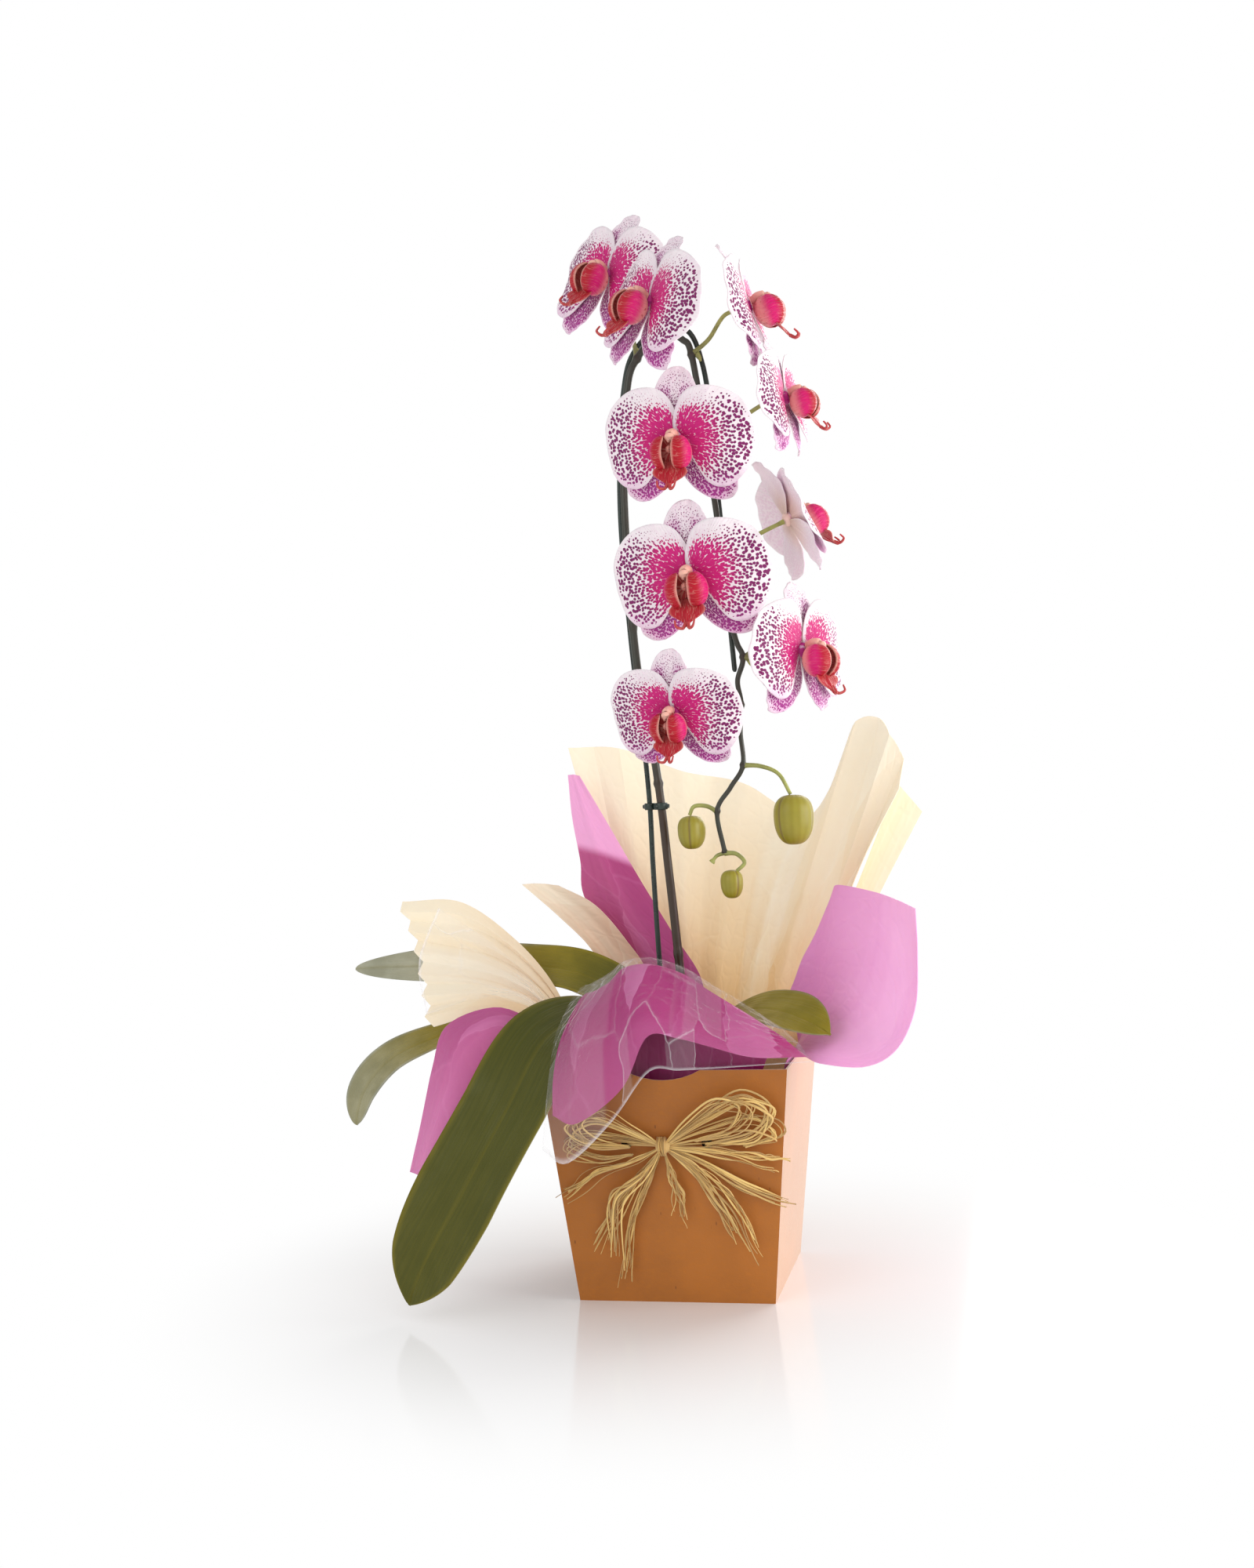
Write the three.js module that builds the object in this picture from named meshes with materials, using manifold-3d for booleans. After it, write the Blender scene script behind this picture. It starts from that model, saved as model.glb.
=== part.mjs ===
// A moth orchid given as a present: one arching flower spike on a wire stake, in its plastic pot, in a
// tapered kraft card box, with magenta and cream paper and clear film tucked round it and a raffia bow.
// Millimetres, +Z up. The origin is the centre of the box's foot, and the box's bow faces -Y.
import * as THREE from "three";
import { mergeVertices } from "three/addons/utils/BufferGeometryUtils.js";
import Module from "manifold-3d";

const wasm = await Module();
wasm.setup();

// Card box
const BOX_FOOT = 120;
const BOX_TOP = 150;
const BOX_HEIGHT = 142;
const CARD = 1.2;
const NOTCH_WIDTH = 46;
const NOTCH_DEPTH = 6;
const TIE_HOLE_X = 24.5;
const TIE_HOLE_Z = 98;
const TIE_HOLE_RADIUS = 3.5;

// Nursery pot and what fills it
const POT_FOOT_RADIUS = 44;
const POT_TOP_RADIUS = 57;
const POT_HEIGHT = 116;
const POT_WALL = 1.4;
const POT_LIP = 2;
const BARK_TOP = 106;
const BARK_CHIPS = 18;
const CROWN_RADIUS = 9;
const CROWN_TOP = 128;

// Flower spike and its stake
const SPIKE_BASE_RADIUS = 3;
const SPIKE_TIP_RADIUS = 1.5;
const STAKE_RADIUS = 1.7;
const PEDICEL_RADIUS = 1.3;
const GAP = 0.3;

// Leaves, petals and paper
const LEAF_THICKNESS = 1.8;
const PETAL_THICKNESS = 1;
const PAPER_THICKNESS = 0.7;

const DEG = Math.PI / 180;
const root = new THREE.Group();

const COLOURS = {
  card: [0xb77b42, 0.85],
  pot: [0x1f1b1c, 0.5],
  bark: [0x5b3a22, 0.95],
  petal: [0xe9c3da, 0.5],
  lip: [0xc2184b, 0.45],
  stem: [0x4b4a2c, 0.55],
  stake: [0x1d2a22, 0.4],
  bud: [0x8f9a3a, 0.5],
  leaf: [0x3f5226, 0.45],
  magenta: [0xc9599f, 0.5],
  cream: [0xf0dcbc, 0.6],
  film: [0xf2eef0, 0.1],
  raffia: [0xd1a860, 0.8],
};

function material(name) {
  const [color, roughness] = COLOURS[name];
  return new THREE.MeshStandardMaterial({ color, roughness, metalness: 0 });
}

// A closed three.js geometry as a solid that can be joined and cut.
function solid(geometry) {
  const bare = geometry.clone();
  bare.deleteAttribute("normal");
  bare.deleteAttribute("uv");
  const merged = mergeVertices(bare, 1e-4);
  const mesh = new wasm.Mesh({
    numProp: 3,
    vertProperties: merged.attributes.position.array,
    triVerts: new Uint32Array(merged.index.array),
  });
  return new wasm.Manifold(mesh);
}

function geometryOf(body) {
  const mesh = body.getMesh();
  const geometry = new THREE.BufferGeometry();
  geometry.setAttribute("position", new THREE.BufferAttribute(mesh.vertProperties, 3));
  geometry.setIndex(new THREE.BufferAttribute(mesh.triVerts, 1));
  const faceted = geometry.toNonIndexed();
  faceted.computeVertexNormals();
  return faceted;
}

function union(bodies) {
  return bodies.reduce((all, body) => all.add(body));
}

function node(name, body, look, parent = root) {
  const mesh = new THREE.Mesh(geometryOf(body), material(look));
  mesh.name = name;
  parent.add(mesh);
  return mesh;
}

function indexed(points, faces) {
  const geometry = new THREE.BufferGeometry();
  const places = points.flatMap((point) => point.toArray());
  geometry.setAttribute("position", new THREE.Float32BufferAttribute(places, 3));
  geometry.setIndex(faces);
  return geometry;
}

// A thin closed solid either side of the surface point(u, v), with both faces split into the same triangles.
function thinSolid(point, columns, rows, thickness) {
  const grid = [];
  for (let i = 0; i <= columns; i++)
    for (let j = 0; j <= rows; j++) grid.push(point(i / columns, j / rows));
  const at = (i, j) => i * (rows + 1) + j;
  const clamp = (k, most) => Math.max(0, Math.min(most, k));
  const side = (sign) =>
    grid.map((p, k) => {
      const i = Math.floor(k / (rows + 1));
      const j = k % (rows + 1);
      const along = grid[at(clamp(i + 1, columns), j)].clone().sub(grid[at(clamp(i - 1, columns), j)]);
      const across = grid[at(i, clamp(j + 1, rows))].clone().sub(grid[at(i, clamp(j - 1, rows))]);
      const normal = along.cross(across).normalize();
      return p.clone().addScaledVector(normal, (sign * thickness) / 2);
    });
  const points = [...side(1), ...side(-1)];
  const below = grid.length;
  const faces = [];
  for (let i = 0; i < columns; i++)
    for (let j = 0; j < rows; j++) {
      const [a, b, c, d] = [at(i, j), at(i + 1, j), at(i + 1, j + 1), at(i, j + 1)];
      // The diagonal runs out towards the corners, so that a rounded outline has no flat triangle there.
      const rising = (i + 0.5 - columns / 2) * (j + 0.5 - rows / 2) > 0;
      const pair = rising ? [[a, b, c], [a, c, d]] : [[a, b, d], [b, c, d]];
      for (const [p, q, r] of pair) faces.push(p, q, r, below + p, below + r, below + q);
    }
  const rim = [];
  for (let i = 0; i < columns; i++) rim.push(at(i, 0));
  for (let j = 0; j < rows; j++) rim.push(at(columns, j));
  for (let i = columns; i > 0; i--) rim.push(at(i, rows));
  for (let j = rows; j > 0; j--) rim.push(at(0, j));
  rim.forEach((p, k) => {
    const q = rim[(k + 1) % rim.length];
    faces.push(p, below + p, q, q, below + p, below + q);
  });
  return solid(indexed(points, faces));
}

// The unit square mapped smoothly on to the unit disc.
function discPoint(u, v) {
  const s = 2 * u - 1;
  const t = 2 * v - 1;
  return [s * Math.sqrt(1 - (t * t) / 2), t * Math.sqrt(1 - (s * s) / 2)];
}

function vectors(list) {
  return list.map((p) => new THREE.Vector3(...p));
}

function curveThrough(list) {
  return new THREE.CatmullRomCurve3(vectors(list), false, "centripetal");
}

// A round closed tube along a curve. radius(t) is its radius at the share t of the way.
function tube(curve, radius, sides, steps) {
  const points = [];
  const faces = [];
  let across = new THREE.Vector3(0.31, 0.83, 0.46);
  for (let i = 0; i <= steps; i++) {
    const centre = curve.getPoint(i / steps);
    const along = curve.getTangent(i / steps);
    across = across.clone().addScaledVector(along, -across.dot(along)).normalize();
    const other = new THREE.Vector3().crossVectors(along, across);
    for (let k = 0; k < sides; k++) {
      const turn = (k / sides) * 2 * Math.PI;
      const out = across.clone().multiplyScalar(Math.cos(turn)).addScaledVector(other, Math.sin(turn));
      points.push(centre.clone().addScaledVector(out, radius(i / steps)));
    }
  }
  const at = (i, k) => i * sides + (k % sides);
  for (let i = 0; i < steps; i++)
    for (let k = 0; k < sides; k++) {
      faces.push(at(i, k), at(i, k + 1), at(i + 1, k));
      faces.push(at(i, k + 1), at(i + 1, k + 1), at(i + 1, k));
    }
  for (let k = 1; k < sides - 1; k++) {
    faces.push(at(0, 0), at(0, k + 1), at(0, k));
    faces.push(at(steps, 0), at(steps, k), at(steps, k + 1));
  }
  return solid(indexed(points, faces));
}

function ellipsoid(centre, radii, width = 8, height = 5) {
  const geometry = new THREE.SphereGeometry(1, width, height);
  geometry.scale(...radii);
  geometry.translate(...centre);
  return solid(geometry);
}

function cylinder(radius, low, high, sides, x = 0, y = 0) {
  const geometry = new THREE.CylinderGeometry(radius, radius, high - low, sides);
  geometry.rotateX(Math.PI / 2);
  geometry.translate(x, y, (low + high) / 2);
  return solid(geometry);
}

function lathe(profile, segments) {
  const geometry = new THREE.LatheGeometry(profile.map(([r, z]) => new THREE.Vector2(r, z)), segments);
  geometry.rotateX(Math.PI / 2);
  return solid(geometry);
}

// Numbers from 0 to 1 that come out the same on every run.
function seeded(seed) {
  let state = seed;
  return () => {
    state = (state * 1664525 + 1013904223) % 4294967296;
    return state / 4294967296;
  };
}

// A four-sided frustum from foot width to top width.
function frustum(foot, top, low, high) {
  const corners = [[-1, -1], [1, -1], [1, 1], [-1, 1]];
  const ring = (half, z) => corners.map(([x, y]) => new THREE.Vector3(x * half, y * half, z));
  const points = [...ring(foot / 2, low), ...ring(top / 2, high)];
  const faces = [0, 2, 1, 0, 3, 2, 4, 5, 6, 4, 6, 7];
  for (let k = 0; k < 4; k++) {
    const next = (k + 1) % 4;
    faces.push(k, next, 4 + next, k, 4 + next, 4 + k);
  }
  return solid(indexed(points, faces));
}

// Folded card: four leaning walls and a floor, a shallow notch in the front edge and two holes for the tie.
function cardBox() {
  const widthAt = (z) => BOX_FOOT + ((BOX_TOP - BOX_FOOT) * z) / BOX_HEIGHT;
  const over = BOX_HEIGHT + 10;
  const inside = frustum(widthAt(CARD) - 2 * CARD, widthAt(over) - 2 * CARD, CARD, over);
  const notchRadius = (NOTCH_WIDTH ** 2 / 4 + NOTCH_DEPTH ** 2) / (2 * NOTCH_DEPTH);
  const notch = new THREE.CylinderGeometry(notchRadius, notchRadius, 30, 48);
  notch.translate(0, -BOX_TOP / 2, BOX_HEIGHT - NOTCH_DEPTH + notchRadius);
  let box = frustum(BOX_FOOT, BOX_TOP, 0, BOX_HEIGHT).subtract(inside).subtract(solid(notch));
  for (const side of [-1, 1]) {
    const hole = new THREE.CylinderGeometry(TIE_HOLE_RADIUS, TIE_HOLE_RADIUS, 30, 12);
    hole.translate(side * TIE_HOLE_X, -BOX_TOP / 2, TIE_HOLE_Z);
    box = box.subtract(solid(hole));
  }
  return box;
}

function nurseryPot() {
  const low = CARD + GAP;
  const top = low + POT_HEIGHT;
  const inner = POT_TOP_RADIUS - POT_WALL;
  return lathe(
    [
      [0, low],
      [POT_FOOT_RADIUS, low],
      [POT_TOP_RADIUS, top - 6],
      [POT_TOP_RADIUS + POT_LIP, top - 6],
      [POT_TOP_RADIUS + POT_LIP, top],
      [inner, top],
      [POT_FOOT_RADIUS - POT_WALL, low + POT_WALL],
      [0, low + POT_WALL],
    ],
    24,
  );
}

// Bark mix: a plug that fills the pot, with chips standing out of its top.
function barkMix() {
  const low = CARD + POT_WALL + 2 * GAP;
  const potTop = CARD + GAP + POT_HEIGHT;
  const slope = (POT_TOP_RADIUS - POT_FOOT_RADIUS) / (potTop - CARD - GAP);
  const radiusAt = (z) => POT_FOOT_RADIUS - POT_WALL + slope * (z - CARD - GAP - POT_WALL) - 0.6;
  let mix = lathe([[0, low], [radiusAt(low), low], [radiusAt(BARK_TOP), BARK_TOP], [0, BARK_TOP]], 24);
  const random = seeded(7);
  for (let k = 0; k < BARK_CHIPS; k++) {
    const chip = new THREE.BoxGeometry(8 + 8 * random(), 5 + 6 * random(), 4 + 4 * random());
    chip.rotateX((random() - 0.5) * 0.9);
    chip.rotateY((random() - 0.5) * 0.9);
    chip.rotateZ(random() * Math.PI);
    const reach = 24 + 20 * Math.sqrt(random());
    const turn = k * 137.5 * DEG;
    chip.translate(reach * Math.cos(turn), reach * Math.sin(turn), BARK_TOP + 0.5);
    mix = mix.add(solid(chip));
  }
  const hole = (radius, x, y) => cylinder(radius + 2 * GAP, BARK_TOP - 60, BARK_TOP + 20, 14, x, y);
  const [stakeX, stakeY] = STAKE_PATH[0];
  return mix.subtract(hole(CROWN_RADIUS, 0, 0)).subtract(hole(STAKE_RADIUS, stakeX, stakeY));
}

// The spike rises on the left, arches over and hangs on the right, with a bend at each of its last nodes.
const SPIKE_PATH = [
  [1.5, -1.5, 112], [0.6, -1, 150], [-0.8, 0, 192], [-5, -2, 258], [-9.5, -4, 320], [-18.6, -8, 392],
  [-21, -12, 491], [-15.3, -16, 559], [-6.4, -18, 580], [8, -18, 592], [21.5, -18, 588], [27.8, -16, 572],
  [37, -14, 486], [44.8, -14, 408], [50.4, -14, 388.6], [46.4, -14, 374], [48.1, -14, 360], [46.8, -14, 342],
  [47.4, -14, 321.5], [39, -14, 308], [29.9, -14, 293.4], [33.6, -14, 267.4],
];
const STAKE_PATH = [
  [-13, 11, 70], [-13, 11, 120], [-15, 6, 194], [-16, 3, 260], [-15.8, 0.5, 298], [-17, -0.6, 327],
  [-22.6, -4, 407], [-24.8, -7.6, 492], [-19, -11, 558], [-12, -8.5, 584], [7, -10.5, 599], [24, -12, 594.5],
  [32.5, -10.5, 573], [38.5, -8, 486], [42, -8, 415], [44, -8, 380],
];

// Blooms: where the hub is, where the face looks (turned right, then up), its roll clockwise, its size and
// the place on the spike where its stalk starts.
const BLOOMS = [
  { hub: [-28, -1, 637], turn: -33, tilt: 14, roll: 16, size: 1, node: [-8, -17.8, 579] },
  { hub: [10.5, -62, 601], turn: -43, tilt: 14, roll: 16, size: 1, node: [6, -18, 591.5] },
  { hub: [23, -58, 519], turn: -9, tilt: -13, roll: 4, size: 0.98, node: [33.4, -14.8, 520] },
  { hub: [28, -60, 437], turn: -6, tilt: -13, roll: -1, size: 1.02, node: [40.9, -14, 446] },
  { hub: [14, -60, 355], turn: -13, tilt: -18, roll: 2, size: 0.88, node: [48.1, -14, 359] },
  { hub: [63.5, -20, 603.5], turn: 90, tilt: 15, roll: -10, size: 0.97, node: [26.2, -16.4, 578] },
  { hub: [84.5, -20, 545.5], turn: 82, tilt: 9, roll: -5, size: 0.88, node: [31.8, -15.2, 533] },
  { hub: [84, -16, 472], turn: 114, tilt: 24, roll: 0, size: 0.94, node: [39.3, -14, 462] },
  { hub: [89.2, -25.5, 390], turn: 64, tilt: 0, roll: -2, size: 0.98, node: [50.4, -14, 388.6] },
];
const HUB_RADIUS = 5;
const HUB_BACK = -5;
const HUB_FRONT = 3;

// Each flower leaf starts near the hub; rise is its direction, claw how much it narrows there and leans how
// far its upper and lower lobes lean back over the hub.
const PETAL = { start: 2, length: 47, half: 31, claw: 0.45, leans: [0.3, 0.1], rise: 2, depth: 0.7, bow: 1 };
const DORSAL = { start: 2, length: 42, half: 16, claw: 0.4, leans: [0, 0], rise: 90, depth: -2.6, bow: 0.6 };
const LATERAL = { start: 2, length: 47, half: 14, claw: 0.4, leans: [0, 0], rise: -47, depth: -2.6, bow: 0.6 };

// A petal or sepal in its bloom's frame: +Y up its dorsal sepal and +Z out of its face. side is 1 or -1.
function petalPoint(shape, side) {
  const { start, length, half, claw, leans, rise, depth, bow } = shape;
  return (u, v) => {
    const [a, b] = discPoint(u, v);
    const share = (a + 1) / 2;
    const along = start + length * (share - (b > 0 ? leans[0] : leans[1]) * b * (1 - share));
    const narrow = 1 - claw * Math.exp(-((share / 0.2) ** 2));
    const across = b * half * narrow;
    const ripple = 1.4 * Math.sin(5 * Math.atan2(b, a)) * (a * a + b * b) * share;
    const curl = bow * (3.5 * Math.sin(Math.PI * share) - 6 * share ** 3 + ripple);
    const turn = rise * DEG;
    const x = along * Math.cos(turn) - across * Math.sin(turn);
    const y = along * Math.sin(turn) + across * Math.cos(turn);
    return new THREE.Vector3(side * x, y, (shape === PETAL ? side * depth : depth) + curl);
  };
}

const flowerLeaves = [
  thinSolid(petalPoint(PETAL, 1), 5, 4, PETAL_THICKNESS),
  thinSolid(petalPoint(PETAL, -1), 5, 4, PETAL_THICKNESS),
  thinSolid(petalPoint(DORSAL, 1), 3, 3, PETAL_THICKNESS),
  thinSolid(petalPoint(LATERAL, 1), 3, 3, PETAL_THICKNESS),
  thinSolid(petalPoint(LATERAL, -1), 3, 3, PETAL_THICKNESS),
];
const hub = cylinder(HUB_RADIUS, HUB_BACK, HUB_FRONT, 8);
const petals = union([...flowerLeaves, hub]);

// The lip: a claw on the hub, a column over it, two cupped side lobes and an anchor-shaped middle lobe
// whose tip ends in two curling tendrils.
function lipSolid() {
  const front = HUB_FRONT + GAP;
  const claw = cylinder(3, front, 10, 5, 0, -2);
  const columnPath = [[0, 2.6, front], [0, 2.6, front + 2], [0, 3, 8], [0, 2, 12]];
  const column = tube(curveThrough(columnPath), () => 2.6, 5, 2);
  const lobes = [-1, 1].map((side) => ellipsoid([side * 5.4, -7.5, 13], [7.4, 10, 9], 6, 4));
  const middle = thinSolid((u, v) => {
    const across = (2 * v - 1) * (1.6 + 9.5 * Math.sin(Math.PI * Math.min(1, u + 0.1)) ** 1.3);
    return new THREE.Vector3(across, -13 - 15 * u, 12 + 9 * u + 0.02 * across * across);
  }, 4, 2, 1.4);
  const tendrils = [-1, 1].map((side) => {
    const path = [[side * 0.7, -26, 20], [side * 2, -28.5, 23], [side * 5, -27, 25.5], [side * 6, -23.5, 24]];
    return tube(curveThrough(path), () => 0.8, 3, 3);
  });
  return union([claw, column, ...lobes, middle, ...tendrils]);
}
const lip = lipSolid();

function bloomPose({ hub: centre, turn, tilt, roll, size }) {
  const pose = new THREE.Matrix4().makeTranslation(...centre);
  pose.multiply(new THREE.Matrix4().makeRotationZ(turn * DEG));
  pose.multiply(new THREE.Matrix4().makeRotationX((90 - tilt) * DEG));
  pose.multiply(new THREE.Matrix4().makeRotationZ(-roll * DEG));
  return pose.multiply(new THREE.Matrix4().makeScale(size, size, size));
}

const spike = new THREE.CatmullRomCurve3(vectors(SPIKE_PATH), false, "catmullrom");

// The place on the spike's centre line that is nearest to a given place.
function onSpike(place) {
  const target = new THREE.Vector3(...place);
  const far = (point) => point.distanceTo(target);
  return spike.getPoints(600).reduce((best, point) => (far(point) < far(best) ? point : best));
}

// A stalk from the spike to just behind the bloom's hub.
function bloomStalk(bloom) {
  const pose = bloomPose(bloom);
  const local = (...p) => new THREE.Vector3(...p).applyMatrix4(pose);
  const start = onSpike(bloom.node);
  const end = local(0, 0, HUB_BACK - GAP / bloom.size);
  const before = local(0, 0, HUB_BACK - 10);
  const middle = start.clone().lerp(before, 0.5).add(new THREE.Vector3(0, 0, -3));
  return tube(new THREE.CatmullRomCurve3([start, middle, before, end]), () => PEDICEL_RADIUS, 4, 5);
}

// Buds: centre, half width and half height, and the path of each one's stalk up to the bud's top.
const BUDS = [
  { name: "bud_big", centre: [77.3, -14, 286.5], radius: 12.4, half: 15.4,
    stalk: [[47.4, -14, 321.5], [58, -14, 320.5], [69, -14, 315.5], [76.3, -14, 302.2]] },
  { name: "bud_middle", centre: [13.4, -16, 281], radius: 8.8, half: 10.4,
    stalk: [[29.9, -14, 293.4], [23.5, -14.5, 297], [15.5, -15.5, 297], [12.6, -16, 291.7]] },
  { name: "bud_small", centre: [37.6, -16, 248], radius: 7.2, half: 8.8,
    stalk: [[33.6, -14, 267.4], [41, -14, 266.5], [45.8, -15, 261], [40.85, -16, 255.9]] },
];
const NUB = [[33.6, -14, 267.4], [28.5, -14, 265.8], [25, -14, 261.8]];

// Leaves: the path of the midrib out of the crown, the half width where it is widest, how far along that
// is, and the way that the upper face looks at the crown and at the tip.
const LEAVES = [
  { name: "leaf_front_left", half: 29, widest: 0.6, faces: [[-0.1, -0.45, 0.9], [-0.2, -0.9, 0.4]],
    rib: [[-8.2, -11.2, 113], [-13.5, -16.5, 140], [-35, -33, 161], [-54, -48, 169.5], [-70, -66, 161],
      [-88, -91, 120], [-115, -101, 72], [-139, -106, 34], [-153, -108, 9]] },
  { name: "leaf_left_high", half: 18, widest: 0.4, faces: [[0.1, -0.5, 0.85], [0, -0.95, 0.3]],
    rib: [[-13, -2.5, 118], [-15.5, -4, 142], [-25, -4, 165], [-42, 3, 179], [-72, 13, 192], [-109, 23, 196],
      [-150, 32, 197], [-191, 37, 196], [-235, 40, 195]] },
  { name: "leaf_left_low", half: 16.5, widest: 0.8, faces: [[0, 0, 1], [-0.5, -0.85, 0.2]],
    rib: [[-15.7, -1, 112], [-24, 2, 130], [-42, 8, 146], [-70, 12, 157], [-96, 14, 163], [-135, 14, 158],
      [-171, 10, 150], [-198, 2, 138], [-214, -6, 119], [-219, -12, 98]] },
  { name: "leaf_right", half: 20, widest: 0.6, faces: [[0.3, -0.3, 0.9], [-0.1, -0.6, 0.8]],
    rib: [[7, -7, 113], [13, -13, 140], [26, -20, 160], [46, -31, 172], [66, -42, 174], [84, -54, 172],
      [99, -64, 168]] },
];

// A leaf blade: channelled along its midrib, narrow at the crown and rounded towards its tip.
function leafPoint({ rib, half, widest, faces }) {
  const path = curveThrough(rib);
  const [early, late] = vectors(faces);
  return (step, v) => {
    const u = 1 - (1 - step) ** 1.5;
    const centre = path.getPoint(u);
    const along = path.getTangent(u);
    const up = early.clone().lerp(late, u * u).normalize();
    const across = new THREE.Vector3().crossVectors(along, up).normalize();
    const out = new THREE.Vector3().crossVectors(across, along).normalize();
    const inner = 0.26 + 0.74 * Math.sin((Math.min(1, u / widest) * Math.PI) / 2) ** 1.3;
    const outer = Math.sqrt(1 - Math.max(0, (u - widest) / (1 - widest)) ** 2.4);
    const width = Math.max(half * inner * outer, 0.8);
    const side = 2 * v - 1;
    centre.addScaledVector(across, side * width);
    return centre.addScaledVector(out, 0.16 * width * side * side);
  };
}

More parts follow.
